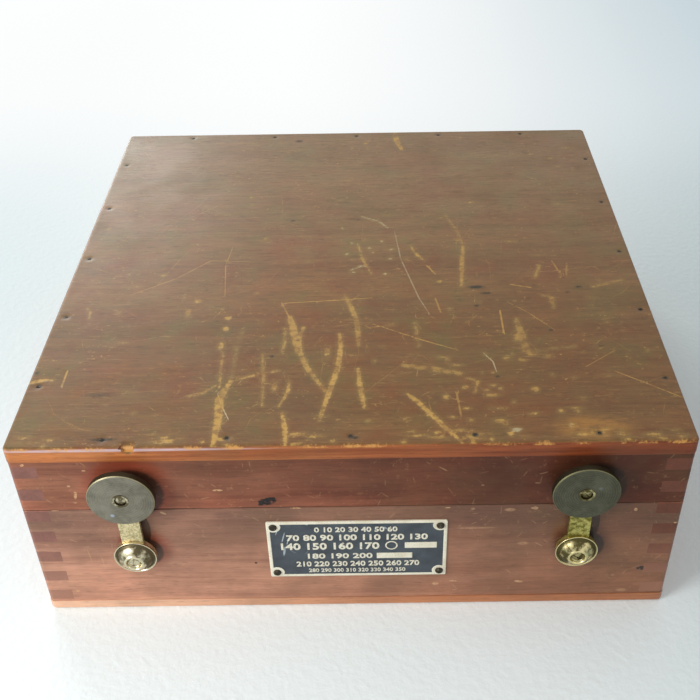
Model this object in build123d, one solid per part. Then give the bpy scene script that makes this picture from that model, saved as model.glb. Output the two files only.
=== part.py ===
"""Wooden storage case for a ship's bearing circle, in millimetres.

A shallow, nearly square mahogany box. Base and lid are frames of four boards with
box-jointed corners, closed by a thin bottom panel and a thicker top panel, both nailed
on. Two butt hinges join the frames at the back. On the front the lid carries two round
turning discs. Behind each disc a curved groove takes the catch pin of a short brass
strap, which a domed boss screws to the base.

Frame: +Z up, front of the case towards -Y, origin on the floor at the middle of the
bottom panel. The case stands closed, with both discs turned to their open position, so
that the groove's mouth points down and the lid can lift off the catch pins.
"""

import os

from build123d import *

# Case
case_width = 320.0
case_depth = 323.0
case_height = 114.5
parting_height = 73.5  # where lid and base meet
parting_gap = 0.3
board_thickness = 13.0
top_thickness = 9.0
bottom_thickness = 6.4
finger_width = 7.3  # height of one finger of the corner joints
corner_radius = 2.4  # upright corners
top_edge_radius = 1.5
bottom_edge_radius = 1.8
panel_overhang = 0.3  # how far top and bottom panel stand proud of the boards
seam_chamfer = 0.35  # softened edges at the parting line

# Brads that hold the two panels
brads_per_side = 5
brad_end_distance = 45.0  # from the case's corner to the last brad of a row
brad_inset = 5.5  # from the case's outside to the brad
brad_length = 24.0
brad_shank_radius = 0.9
brad_head_radius = 1.5
brad_head_height = 0.8
brad_sink = 0.3  # depth of the head under the surface

# Butt hinges
hinge_end_distance = 60.0  # from the case's end to the hinge's middle
hinge_length = 51.0
hinge_leaf_width = 11.5  # from the back face into the board
leaf_thickness = 1.6
knuckle_count = 5
knuckle_radius = 2.75
knuckle_gap = 0.2  # between neighbouring knuckles
barrel_standoff = 0.3  # between the barrel and the boards
leaf_swing_gap = 0.3  # between a leaf's edge and the other leaf's knuckles
mortise_clearance = 0.1
hinge_pin_radius = 1.3
hinge_pin_clearance = 0.05
hinge_pin_head_radius = 2.1
hinge_pin_head_height = 0.9
leaf_screws = 3
leaf_screw_end_distance = 8.0
leaf_screw_head_radius = 2.6
leaf_screw_shank_radius = 1.3
leaf_screw_length = 13.0
screw_slot_width = 0.8
screw_slot_depth = 0.6
head_bevel = 0.25  # share of a latch screw's head height that is bevelled

# Turning-disc latches
latch_end_distance = 51.1  # from the case's end to the disc's pivot
hardware_shift = 0.8  # latches and plate were fitted by hand, a little right of centre
disc_height = 88.5  # of the disc's pivot above the floor
disc_radius = 15.9
disc_thickness = 3.4
disc_chamfer = 0.5
bush_radius = 3.9
bush_proud = 0.25
pivot_head_radius = 2.7
pivot_head_height = 1.3
pivot_clearance = 0.05  # between bush and shoulder
pivot_head_clearance = 0.15
shoulder_radius = 2.0
pivot_thread_radius = 1.7
pivot_thread_length = 11.0
hub_radius = 5.4
hub_gap = 0.12  # between hub washer and disc
catch_radius = 9.5  # from the disc's pivot to the catch pin
catch_pin_radius = 1.6
catch_clearance = 0.35
groove_depth = 2.2
catch_tip_gap = 0.3
lock_turn = 100.0  # degrees from open to locked
lock_overtravel = 2.0  # degrees of groove beyond that
strap_standoff = 3.0  # from the front face to the back of the strap
strap_thickness = 2.0
strap_width = 10.4
strap_end_margin = 3.3  # strap beyond the catch pin's centre
strap_corner_radius = 2.4
strap_gap = 0.4  # between strap and disc
boss_height_on_case = 46.0  # of the boss's centre above the floor
strap_eye_radius = 10.1
spacer_radius = 7.0
boss_radius = 10.5
boss_flange = 0.9
boss_dome_radius = 8.7
boss_rise = 4.6
boss_ring_radius = 4.3
boss_shoulder_reach = 0.45  # share of the way from ring to dome edge where the dome bends most
boss_shoulder_rise = 0.78  # share of the rise that the dome has there
boss_foot_slope = (-0.25, 1)  # the dome's direction where it leaves the flange
boss_crown_slope = (-1, 0.12)  # and where it reaches the ring
boss_pocket_radius = 3.2
boss_pocket_depth = 1.9
boss_screw_head_radius = 2.9
boss_screw_head_height = 1.3
boss_screw_shank_radius = 1.8
boss_screw_grip = 10.0  # length of the shank inside the board

# Data plate
plate_width = 89.0
plate_height = 40.0
plate_thickness = 0.8
plate_corner_radius = 0.6
plate_centre_height = 44.0
plate_shift = 0.7  # the plate sits a little further right than the latches
plate_pin_inset = 3.4
plate_pin_head_radius = 2.0
plate_pin_head_height = 1.0
plate_pin_head_rounding = 0.8  # share of the head's height that is rounded
plate_pin_radius = 0.8
plate_pin_length = 9.0

# Corner blocks that carry the instrument's ring
block_leg = 95.0
block_height = 26.0
bowl_radius = 104.0  # clear space inside the blocks
ring_width = 15.5  # of the rebate for the instrument's ring, outwards from the clear space
seat_depth = 12.0
felt_thickness = 1.5
felt_margin = 1.0

# Places worked out from the sizes
front = -case_depth / 2
back = case_depth / 2
top_joint = case_height - top_thickness
base_rim = parting_height - parting_gap / 2
lid_rim = parting_height + parting_gap / 2
hinge_axis_y = back + barrel_standoff + knuckle_radius
disc_back = strap_standoff + strap_thickness + strap_gap
disc_front = disc_back + disc_thickness
strap_front = strap_standoff + strap_thickness
hub_front = disc_back - hub_gap
inner_x = case_width / 2 - board_thickness
inner_y = case_depth / 2 - board_thickness
plate_x = hardware_shift + plate_shift
ring_radius = bowl_radius + ring_width

past = 1.0  # how far a cut runs beyond what it cuts
sides = {"left": -1, "right": 1}
parts = {}


def slab(x0, x1, y0, y1, z0, z1):
    """A box between two corners."""
    return Pos((x0 + x1) / 2, (y0 + y1) / 2, (z0 + z1) / 2) * Box(x1 - x0, y1 - y0, z1 - z0)


def on_front(x, z):
    """The place on the front face at x and z: its own Z points out of the case, its own Y up."""
    return Plane(origin=(x, front, z), x_dir=(1, 0, 0), z_dir=(0, -1, 0)).location


def rod(radius, low, high):
    """A round rod about its own Z, from low to high."""
    return Pos(0, 0, (low + high) / 2) * Cylinder(radius, high - low)


def slot_cut(radius, top, depth):
    """What a screwdriver slot takes out of a head whose top is at the given height."""
    return Pos(0, 0, top - depth / 2) * Box(2 * radius + past, screw_slot_width, depth)


def countersunk_screw(head_radius, shank_radius, length):
    """A flat-head wood screw, head uppermost at height 0, pointing down, with its slot."""
    cone_depth = head_radius - shank_radius
    cone = Pos(0, 0, -cone_depth / 2) * Cone(shank_radius, head_radius, cone_depth)
    return cone + rod(shank_radius, -length, -cone_depth)


# Case frames and panels


def envelope(z0, z1, seam_at_top):
    """The rounded outside of a frame, with its edge at the parting line softened."""
    outside = slab(-case_width / 2, case_width / 2, front, back, z0, z1)
    outside = fillet(outside.edges().filter_by(Axis.Z), corner_radius)
    seam = outside.faces().sort_by(Axis.Z)[-1 if seam_at_top else 0]
    return chamfer(seam.edges(), seam_chamfer)


def side_finger_spans(z0, z1):
    """Heights at which the side boards' fingers come through, counted from the parting line."""
    first = int((z0 - parting_height) // finger_width)
    last = int((z1 - parting_height) // finger_width)
    spans = []
    for step in range(first, last + 1):
        if step % 2:
            low = max(z0, parting_height + step * finger_width)
            high = min(z1, parting_height + (step + 1) * finger_width)
            if high > low:
                spans.append((low, high))
    return spans


def frame_boards(z0, z1, seam_at_top):
    """Front, back, left and right board of one frame, with interlocking fingers."""
    outside = envelope(z0, z1, seam_at_top)
    half = case_width / 2
    boards = {
        "front": slab(-half, half, front, front + board_thickness, z0, z1),
        "back": slab(-half, half, back - board_thickness, back, z0, z1),
    }
    fingers = {}
    for side, sign in sides.items():
        x0, x1 = sorted((sign * half, sign * inner_x))
        boards[side] = slab(x0, x1, -inner_y, inner_y, z0, z1)
        for end, y0, y1 in (("front", front, -inner_y), ("back", inner_y, back)):
            fingers[side, end] = [slab(x0, x1, y0, y1, a, b) for a, b in side_finger_spans(z0, z1)]
    for (side, end), blocks in fingers.items():
        boards[end] = boards[end] - blocks
        boards[side] = boards[side] + blocks
    return {name: board & outside for name, board in boards.items()}


def panel(z0, z1, rounded_face, radius):
    """A top or bottom panel, a little larger than the frame, rounded on its outer face."""
    x, y = case_width / 2 + panel_overhang, case_depth / 2 + panel_overhang
    board = slab(-x, x, -y, y, z0, z1)
    board = fillet(board.edges().filter_by(Axis.Z), corner_radius + panel_overhang)
    return fillet(board.faces().sort_by(Axis.Z)[rounded_face].edges(), radius)


def brad_places():
    """X and Y of the brads along the four sides."""
    places = []
    for row in range(brads_per_side):
        share = row / (brads_per_side - 1) - 0.5
        x = share * (case_width - 2 * brad_end_distance)
        y = share * (case_depth - 2 * brad_end_distance)
        for sign in (-1, 1):
            places.append((x, sign * (case_depth / 2 - brad_inset)))
            places.append((sign * (case_width / 2 - brad_inset), y))
    return places


def brads(surface, inward):
    """Brads driven from a panel's face. inward is -1 from above and 1 from below."""
    head_top = surface + inward * brad_sink
    neck = head_top + inward * brad_head_height
    tip = head_top + inward * brad_length
    shank = rod(brad_shank_radius, *sorted((neck, tip)))
    head = rod(brad_head_radius, *sorted((head_top, neck)))
    return [Pos(x, y, 0) * (shank + head) for x, y in brad_places()]


def brad_recess(surface, inward):
    """The open dimples above the sunk heads."""
    span = sorted((surface - inward * past, surface + inward * brad_sink))
    return [Pos(x, y, 0) * rod(brad_head_radius, *span) for x, y in brad_places()]


base_boards = frame_boards(bottom_thickness, base_rim, True)
lid_boards = frame_boards(lid_rim, top_joint, False)
top_panel = panel(top_joint, case_height, -1, top_edge_radius)
bottom_panel = panel(0, bottom_thickness, 0, bottom_edge_radius)
top_brads = brads(case_height, -1)
bottom_brads = brads(0, 1)
top_panel = top_panel - top_brads - brad_recess(case_height, -1)
bottom_panel = bottom_panel - bottom_brads - brad_recess(0, 1)
base_boards = {name: board - bottom_brads for name, board in base_boards.items()}
lid_boards = {name: board - top_brads for name, board in lid_boards.items()}


# Butt hinges


def leaf(sign):
    """One leaf about the hinge's own middle: sign -1 is the base's leaf, 1 the lid's."""
    rim = parting_gap / 2
    z0, z1 = sorted((sign * rim, sign * (rim + leaf_thickness)))
    edge = hinge_axis_y - knuckle_radius - leaf_swing_gap
    half = hinge_length / 2
    body = slab(-half, half, back - hinge_leaf_width, edge, z0, z1)
    pitch = hinge_length / knuckle_count
    first = 0 if sign < 0 else 1
    for index in range(first, knuckle_count, 2):
        low = -half + index * pitch + (knuckle_gap / 2 if index else 0)
        high = -half + (index + 1) * pitch - (knuckle_gap / 2 if index < knuckle_count - 1 else 0)
        barrel = Pos((low + high) / 2, hinge_axis_y, 0) * Rot(0, 90, 0)
        body = body + barrel * Cylinder(knuckle_radius, high - low)
        body = body + slab(low, high, edge, hinge_axis_y, z0, z1)
    bore = Pos(0, hinge_axis_y, 0) * Rot(0, 90, 0)
    return body - bore * Cylinder(hinge_pin_radius + hinge_pin_clearance, hinge_length + 2 * past)


def hinge_pin():
    """The pin, with a flat head against each outer knuckle."""
    pin = Cylinder(hinge_pin_radius, hinge_length)
    for sign in (-1, 1):
        offset = sign * (hinge_length + hinge_pin_head_height) / 2
        pin = pin + Pos(0, 0, offset) * Cylinder(hinge_pin_head_radius, hinge_pin_head_height)
    return Pos(0, hinge_axis_y, 0) * Rot(0, 90, 0) * pin


def leaf_screw_places(sign):
    """Where one leaf's screws go, pointing away from the parting line, about the hinge's middle."""
    y = back - hinge_leaf_width / 2
    turn = Rot(0, 0, 0) if sign < 0 else Rot(180, 0, 0)
    reach = hinge_length / 2 - leaf_screw_end_distance
    places = []
    for index in range(leaf_screws):
        x = reach * (2 * index / (leaf_screws - 1) - 1)
        places.append(Pos(x, y, sign * parting_gap / 2) * turn)
    return places


plain_screw = countersunk_screw(leaf_screw_head_radius, leaf_screw_shank_radius, leaf_screw_length)
slotted_screw = plain_screw - slot_cut(leaf_screw_head_radius, 0, screw_slot_depth)
leaf_owner = {-1: "base", 1: "lid"}
hinge_screws = {-1: [], 1: []}
rim = parting_gap / 2
mortise_half = hinge_length / 2 + mortise_clearance
mortise_inner = back - hinge_leaf_width - mortise_clearance
for side, side_sign in sides.items():
    hinge_place = Pos(side_sign * (case_width / 2 - hinge_end_distance), 0, parting_height)
    parts[f"hinge_{side}_pin"] = hinge_place * hinge_pin()
    for sign, owner in leaf_owner.items():
        screws = [hinge_place * place for place in leaf_screw_places(sign)]
        one_leaf = hinge_place * leaf(sign) - [place * plain_screw for place in screws]
        parts[f"hinge_{side}_{owner}_leaf"] = one_leaf
        hinge_screws[sign] += [place * slotted_screw for place in screws]
        z0, z1 = sorted((0, sign * (rim + leaf_thickness)))
        mortise = hinge_place * slab(-mortise_half, mortise_half, mortise_inner, back + past, z0, z1)
        boards = base_boards if sign < 0 else lid_boards
        boards["back"] = boards["back"] - mortise - [place * plain_screw for place in screws]


# Turning-disc latches


def turning_disc():
    """The disc about its pivot, open at rest: the groove's mouth points down.

    The groove runs from the mouth anticlockwise, as seen from outside, so that turning
    the disc clockwise takes the mouth away from the catch pin and traps it.
    """
    disc = rod(disc_radius, disc_back, disc_front)
    disc = chamfer(disc.faces().sort_by(Axis.Z)[-1].edges(), disc_chamfer)
    half_width = catch_pin_radius + catch_clearance
    low, high = disc_back - past, disc_back + groove_depth
    about_pivot = (Align.NONE, Align.NONE, Align.MIN)
    arc = Cylinder(catch_radius + half_width, high - low, lock_turn + lock_overtravel, align=about_pivot)
    groove = Rot(0, 0, -90) * Pos(0, 0, low) * arc - rod(catch_radius - half_width, low, high)
    for turn in (0, lock_turn + lock_overtravel):
        groove = groove + Rot(0, 0, turn) * Pos(0, -catch_radius, 0) * rod(half_width, low, high)
    mouth = slab(-half_width, half_width, -disc_radius - past, -catch_radius, low, high)
    return disc - groove - mouth - rod(bush_radius, disc_back - past, disc_front + past)


def bush():
    """The brass bush pressed into the disc, with a pocket for the pivot screw's head."""
    face = disc_front + bush_proud
    pocket_floor = face - pivot_head_height - pivot_head_clearance
    body = rod(bush_radius, disc_back, face)
    body = body - rod(pivot_head_radius + pivot_head_clearance, pocket_floor, face + past)
    return body - rod(shoulder_radius + pivot_clearance, disc_back - past, face)


def pivot_screw():
    """The shoulder screw that the disc turns on. Its thread grips the lid's front board."""
    face = disc_front + bush_proud
    head = rod(pivot_head_radius, face - pivot_head_height, face)
    head = chamfer(head.faces().sort_by(Axis.Z)[-1].edges(), head_bevel * pivot_head_height)
    head = head - slot_cut(pivot_head_radius, face, screw_slot_depth)
    shoulder = rod(shoulder_radius, 0, face - pivot_head_height)
    return head + shoulder + rod(pivot_thread_radius, -pivot_thread_length, 0)


def strap_outline():
    """The strap about the boss's centre: a round eye with a straight tongue upwards."""
    reach = disc_height - catch_radius - boss_height_on_case + strap_end_margin
    tongue = Pos(0, reach / 2) * Rectangle(strap_width, reach)
    tongue = fillet(tongue.vertices().sort_by(Axis.Y)[-2:], strap_corner_radius)
    return Circle(strap_eye_radius) + tongue


def boss():
    """The domed brass boss about its own axis, standing on the strap's eye."""
    foot = strap_front
    rim = foot + boss_flange
    crown = rim + boss_rise
    pocket = crown - boss_pocket_depth
    shoulder = boss_ring_radius + boss_shoulder_reach * (boss_dome_radius - boss_ring_radius)
    dome = Spline(
        (boss_dome_radius, rim),
        (shoulder, rim + boss_shoulder_rise * boss_rise),
        (boss_ring_radius, crown),
        tangents=[boss_foot_slope, boss_crown_slope],
    )
    inside = Polyline(
        (boss_ring_radius, crown),
        (boss_pocket_radius, crown),
        (boss_pocket_radius, pocket),
        (boss_screw_shank_radius, pocket),
        (boss_screw_shank_radius, foot),
        (boss_radius, foot),
        (boss_radius, rim),
        (boss_dome_radius, rim),
    )
    return revolve(Plane.XZ * make_face([dome, inside]), Axis.Z)


def boss_screw():
    """The slotted screw through boss, strap and spacer into the base's front board."""
    seat = strap_front + boss_flange + boss_rise - boss_pocket_depth
    head = rod(boss_screw_head_radius, seat, seat + boss_screw_head_height)
    head = chamfer(head.faces().sort_by(Axis.Z)[-1].edges(), head_bevel * boss_screw_head_height)
    head = head - slot_cut(boss_screw_head_radius, seat + boss_screw_head_height, screw_slot_depth)
    return head + rod(boss_screw_shank_radius, -boss_screw_grip, seat)


for side, side_sign in sides.items():
    latch_x = side_sign * (case_width / 2 - latch_end_distance) + hardware_shift
    pivot = on_front(latch_x, disc_height)
    boss_place = on_front(latch_x, boss_height_on_case)
    catch_place = on_front(latch_x, disc_height - catch_radius)
    catch_pin = rod(catch_pin_radius, strap_standoff, disc_back + groove_depth - catch_tip_gap)
    shank_hole = rod(boss_screw_shank_radius, 0, strap_front)
    strap = Pos(0, 0, strap_standoff) * extrude(strap_outline(), strap_thickness) - shank_hole
    latch = {
        "disc": pivot * turning_disc(),
        "bush": pivot * bush(),
        "pivot_screw": pivot * pivot_screw(),
        "hub_washer": pivot * (rod(hub_radius, 0, hub_front) - rod(shoulder_radius, 0, hub_front)),
        "catch_pin": catch_place * catch_pin,
        "strap": boss_place * strap - catch_place * catch_pin,
        "strap_spacer": boss_place * (rod(spacer_radius, 0, strap_standoff) - shank_hole),
        "boss": boss_place * boss(),
        "boss_screw": boss_place * boss_screw(),
    }
    parts.update({f"latch_{side}_{name}": piece for name, piece in latch.items()})
    lid_boards["front"] = lid_boards["front"] - latch["pivot_screw"]
    base_boards["front"] = base_boards["front"] - latch["boss_screw"]


# Data plate

plate_place = on_front(plate_x, plate_centre_height)
plate_blank = RectangleRounded(plate_width, plate_height, plate_corner_radius)
plate_pin = rod(plate_pin_radius, -plate_pin_length, plate_thickness)
pin_head = rod(plate_pin_head_radius, plate_thickness, plate_thickness + plate_pin_head_height)
pin_rounding = plate_pin_head_rounding * plate_pin_head_height
pin_head = fillet(pin_head.faces().sort_by(Axis.Z)[-1].edges(), pin_rounding)
pin_x = plate_width / 2 - plate_pin_inset
pin_y = plate_height / 2 - plate_pin_inset
pin_corners = [(x, y) for x in (-pin_x, pin_x) for y in (-pin_y, pin_y)]
plate_pins = [plate_place * Pos(x, y, 0) * (plate_pin + pin_head) for x, y in pin_corners]
parts["nameplate"] = plate_place * extrude(plate_blank, plate_thickness) - plate_pins
base_boards["front"] = base_boards["front"] - plate_pins


# Corner blocks and felt pads

floor = bottom_thickness
seat_height = floor + block_height - seat_depth
for side, x_sign in sides.items():
    for end, y_sign in (("front", -1), ("back", 1)):
        x0, x1 = sorted((x_sign * inner_x, x_sign * (inner_x - block_leg)))
        y0, y1 = sorted((y_sign * inner_y, y_sign * (inner_y - block_leg)))
        block = slab(x0, x1, y0, y1, floor, floor + block_height)
        block = block - rod(bowl_radius, floor - past, floor + block_height + past)
        block = block - rod(ring_radius, seat_height, floor + block_height + past)
        parts[f"corner_block_{end}_{side}"] = block
        pad_top = seat_height + felt_thickness
        pad = rod(ring_radius - felt_margin, seat_height, pad_top)
        pad = pad - rod(bowl_radius + felt_margin, seat_height - past, pad_top + past)
        seat = slab(
            x0 + felt_margin,
            x1 - felt_margin,
            y0 + felt_margin,
            y1 - felt_margin,
            seat_height,
            pad_top,
        )
        parts[f"felt_pad_{end}_{side}"] = pad & seat


for name, board in base_boards.items():
    parts[f"base_{name}_board"] = board
for name, board in lid_boards.items():
    parts[f"lid_{name}_board"] = board
parts["top_panel"] = top_panel
parts["bottom_panel"] = bottom_panel
parts["top_panel_brads"] = Compound(children=top_brads)
parts["bottom_panel_brads"] = Compound(children=bottom_brads)
parts["hinge_base_screws"] = Compound(children=hinge_screws[-1])
parts["hinge_lid_screws"] = Compound(children=hinge_screws[1])
parts["nameplate_pins"] = Compound(children=plate_pins)

os.makedirs("parts", exist_ok=True)
for name, piece in parts.items():
    export_step(piece, f"parts/{name}.step")
print(len(parts), "parts written")
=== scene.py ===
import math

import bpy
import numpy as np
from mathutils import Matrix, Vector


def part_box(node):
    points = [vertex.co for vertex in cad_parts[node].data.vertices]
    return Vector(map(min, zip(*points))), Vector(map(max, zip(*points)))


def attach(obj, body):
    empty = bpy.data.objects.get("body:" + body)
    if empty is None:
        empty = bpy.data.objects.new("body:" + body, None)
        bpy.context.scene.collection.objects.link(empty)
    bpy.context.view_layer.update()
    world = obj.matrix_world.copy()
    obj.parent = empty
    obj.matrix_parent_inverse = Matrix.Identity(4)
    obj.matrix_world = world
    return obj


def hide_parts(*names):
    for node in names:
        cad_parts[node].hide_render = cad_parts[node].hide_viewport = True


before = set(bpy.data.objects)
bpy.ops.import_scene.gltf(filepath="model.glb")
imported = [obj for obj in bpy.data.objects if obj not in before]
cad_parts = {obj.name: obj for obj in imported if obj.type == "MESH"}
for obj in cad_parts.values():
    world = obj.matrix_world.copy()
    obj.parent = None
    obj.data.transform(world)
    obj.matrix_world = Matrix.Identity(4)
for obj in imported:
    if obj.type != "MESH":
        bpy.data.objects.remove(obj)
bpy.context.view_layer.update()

# %% [markdown]
# # A worn instrument case
#
# The object is a shallow varnished box with box-jointed corners, a hinged lid, two brass
# turning-disc latches and a small data plate. Its pieces, their sizes and the way they move come
# from the frame that was just loaded. This notebook gives them their surfaces: it lays new, finely
# divided skins over the top panel and the plate, turns the bosses on a lathe, and paints every piece
# with nodes. Lengths are written in millimetres and stored in metres.

MM = 0.001


def box_mm(node):
    """Lowest and highest corner of a CAD node, in millimetres."""
    low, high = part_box(node)
    return np.array(low) / MM, np.array(high) / MM


top_low, top_high = box_mm("top_panel")
base_low, base_high = box_mm("base_front_board")
seam_z = float(box_mm("lid_front_board")[0][2])
case_half_x, front_y = base_high[0], base_low[1]
case_half_y = -front_y
sides = {"left": -1, "right": 1}
print("case half sizes", case_half_x, case_half_y, "and the seam is at z", seam_z)

# %% [markdown]
# ## Camera
#
# The view is from a little above the case, straight on to its front. A camera in Blender looks
# along its own -Z, so its matrix is three columns: what is right, what is up, and what lies
# behind it. The small shift moves the picture in its frame without turning the camera.

# %% Camera
camera_place = Vector((13.5, -506.2, 434.6)) * MM
camera_elevation, camera_yaw, camera_roll = (math.radians(a) for a in (37.5, 0.14, -0.89))
camera_lens = 52.61
camera_shift = (-0.0381, -0.0035)


def camera_matrix(place, elevation, yaw, roll):
    """Columns right, up and back: back is a unit vector at that yaw and elevation, right lies level,
    and up closes the set; right and up are then turned by the roll about back."""
    across, rise = math.cos(elevation), math.sin(elevation)
    back = Vector((math.sin(yaw) * across, -math.cos(yaw) * across, rise))
    right = (-back).cross(Vector((0, 0, 1))).normalized()
    up = right.cross(-back)
    c, s = math.cos(roll), math.sin(roll)
    columns = (right * c + up * s, up * c - right * s, back)
    turned = Matrix(columns).transposed().to_4x4()
    return Matrix.Translation(place) @ turned


camera = bpy.data.objects.new("camera", bpy.data.cameras.new("camera"))
camera.data.lens = camera_lens
camera.data.shift_x, camera.data.shift_y = camera_shift
camera.data.clip_start, camera.data.clip_end = 0.02, 20
camera.matrix_world = camera_matrix(camera_place, camera_elevation, camera_yaw, camera_roll)
bpy.context.scene.collection.objects.link(camera)
bpy.context.scene.camera = camera
bpy.context.scene.view_settings.view_transform = "Standard"
print("camera", (camera_place / MM)[:], "mm, lens", camera_lens)

# %% [markdown]
# ## Node helper
#
# A finish is a graph of small nodes. Writing it as function calls keeps it readable: each call
# adds one node, or a few, and returns an output, which the next call takes. Patterns are read from
# the object's own coordinates, scaled to millimetres, so a feature's size is a real size. Two shapes
# of call come back everywhere: step turns a pattern into a share from 0 to 1, and stain lays a
# colour over another by such a share.

# %% Node helper


def paint(red, green, blue):
    """A colour given as it looks on screen, 0 to 255, as the linear light a shader works in:
    below 0.04 divided by 12.92, above it ((c + 0.055) / 1.055) to the power 2.4."""
    c = np.array([red, green, blue]) / 255
    linear = np.where(c <= 0.04, c / 12.92, ((c + 0.055) / 1.055) ** 2.4)
    return (*(float(v) for v in linear), 1.0)


def dimmed(colour, share):
    """The same colour with only a share of its light."""
    return (*(share * c for c in colour[:3]), 1.0)


class Finish:
    """A material being built. Every method adds a node and returns what comes out of it."""

    def __init__(self, name, metallic=0.0, roughness=0.5, coat=0.0, coat_roughness=0.2, specular=0.5):
        self.material = bpy.data.materials.new(name)
        self.material.use_nodes = True
        self.nodes = self.material.node_tree.nodes
        self.links = self.material.node_tree.links
        self.surface = self.nodes["Principled BSDF"]
        constants = {"Metallic": metallic, "Roughness": roughness, "Coat Weight": coat,
                     "Coat Roughness": coat_roughness, "Specular IOR Level": specular}
        for socket, value in constants.items():
            self.surface.inputs[socket].default_value = value

    def node(self, kind, inputs, output=0, **settings):
        """One node of a kind. An input that comes from another node is linked, any other is set."""
        made = self.nodes.new("ShaderNode" + kind)
        for key, value in settings.items():
            setattr(made, key, value)
        for key, value in inputs.items():
            if isinstance(value, bpy.types.NodeSocket):
                self.links.new(value, made.inputs[key])
            else:
                made.inputs[key].default_value = value
        return made.outputs[output]

    def place(self):
        """Position on the piece, in millimetres."""
        metres = self.node("TexCoord", {}, "Object")
        return self.stretch(metres, (1 / MM, 1 / MM, 1 / MM))

    def stretch(self, vector, factors):
        """A vector times factors: a pattern read from it is drawn out where a factor is small."""
        return self.node("VectorMath", {0: vector, 1: factors}, operation="MULTIPLY")

    def shift(self, vector, offset):
        """A vector plus an offset."""
        return self.node("VectorMath", {0: vector, 1: offset}, operation="ADD")

    def parts(self, vector):
        """X, Y and Z of a vector."""
        x = self.node("SeparateXYZ", {0: vector}, 0)
        return x, x.node.outputs[1], x.node.outputs[2]

    def noise(self, vector, size, detail=2.0, roughness=0.5, output=0):
        """Noise whose features are about that many units wide."""
        inputs = {"Vector": vector, "Scale": 1 / size, "Detail": detail, "Roughness": roughness}
        return self.node("TexNoise", inputs, output)

    def facing(self, axis):
        """How squarely the surface faces along an axis: the size of its normal there."""
        return self.math("ABSOLUTE", self.parts(self.node("TexCoord", {}, "Normal"))[axis])

    def math(self, operation, *values):
        """One Math node for the first two values, and one more for each value after them."""
        total = self.node("Math", dict(enumerate(values[:2])), operation=operation)
        for value in values[2:]:
            total = self.node("Math", {0: total, 1: value}, operation=operation)
        return total

    def times(self, *values):
        return self.math("MULTIPLY", *values)

    def plus(self, *values):
        return self.math("ADD", *values)

    def minus(self, a, b):
        return self.math("SUBTRACT", a, b)

    def most(self, *values):
        return self.math("MAXIMUM", *values)

    def step(self, value, low, high, at_low=0.0, at_high=1.0):
        """Rises smoothly from at_low to at_high as value goes from low to high."""
        inputs = {"Value": value, "From Min": low, "From Max": high, "To Min": at_low, "To Max": at_high}
        return self.node("MapRange", inputs, interpolation_type="SMOOTHSTEP")

    def mix(self, share, a, b, blend="MIX"):
        """Colour a where share is 0 and colour b where it is 1."""
        return self.node("Mix", {0: share, 6: a, 7: b}, 2, data_type="RGBA", blend_type=blend)

    def stain(self, colour, other, value, low, high, at_low=0.0, at_high=1.0):
        """A colour with another laid over it, by the share that step gives for value."""
        return self.mix(self.step(value, low, high, at_low, at_high), colour, other)

    def scale(self, colour, factor):
        """A colour times a number."""
        return self.node("VectorMath", {0: colour, "Scale": factor}, operation="SCALE")

    def field(self, name):
        """A number stored on each vertex of the mesh."""
        return self.node("Attribute", {}, "Fac", attribute_name=name)

    def smudge(self, vector, centre, half_sizes, angle=0.0, soft=0.5):
        """1 in an ellipse about a centre, turned by an angle about Y, fading over its outer part."""
        inputs = {"Vector": vector, "Location": centre, "Rotation": (0, math.radians(angle), 0),
                  "Scale": half_sizes}
        inside = self.node("Mapping", inputs, vector_type="TEXTURE")
        far = self.node("VectorMath", {0: inside}, "Value", operation="LENGTH")
        return self.step(far, 1 - soft, 1.0, 1.0, 0.0)

    def bump(self, height, depth, normal=None):
        """Tilts the surface as if height 1 stood that many millimetres above height 0."""
        inputs = {"Height": height, "Distance": depth * MM, "Strength": 1.0}
        if normal is not None:
            inputs["Normal"] = normal
        return self.node("Bump", inputs)

    def finish(self, colour=None, roughness=None, normal=None):
        """Links what varies over the surface to the shader, and gives the material."""
        given = {"Base Color": colour, "Roughness": roughness, "Normal": normal}
        for socket, value in given.items():
            if value is not None:
                self.links.new(value, self.surface.inputs[socket])
        return self.material


# %% [markdown]
# ## Mesh helpers
#
# A surface is a grid of points worked out all at once with numpy, and a list of quads that joins
# each point to its neighbours. Loops that stay open at the end are closed with one flat face, so
# every piece is a closed skin with its faces outwards. The volume that is printed is positive
# only if they are.

# %% Grids and pieces


def grid_faces(rows, columns, around=False, first=0):
    """Quads of a grid stored row by row. Point (r, c) is number first + r * columns + c, and joins
    (r, c + 1), (r + 1, c + 1) and (r + 1, c). With around, the last column joins the first."""
    r, c = np.meshgrid(np.arange(rows - 1), np.arange(columns - (not around)), indexing="ij")
    right = (c + 1) % columns
    quads = [r * columns + c, r * columns + right, (r + 1) * columns + right, (r + 1) * columns + c]
    return (np.stack(quads, -1).reshape(-1, 4) + first).tolist()


def grid_rim(rows, columns):
    """Numbers of a grid's border points, once round, along the first row first."""
    number = np.arange(rows * columns).reshape(rows, columns)
    return np.concatenate([number[0, :-1], number[:-1, -1], number[-1, :0:-1], number[:0:-1, 0]])


def volume_of(mesh):
    """Sum over the triangles a, b, c of a . (b x c) / 6, which is the enclosed volume."""
    mesh.calc_loop_triangles()
    corners = np.empty(len(mesh.loop_triangles) * 3, np.int32)
    mesh.loop_triangles.foreach_get("vertices", corners)
    points = np.empty(len(mesh.vertices) * 3, np.float32)
    mesh.vertices.foreach_get("co", points)
    a, b, c = points.reshape(-1, 3)[corners.reshape(-1, 3)].transpose(1, 0, 2).astype(float)
    return float(np.einsum("ij,ij->i", a, np.cross(b, c)).sum() / 6)


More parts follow.
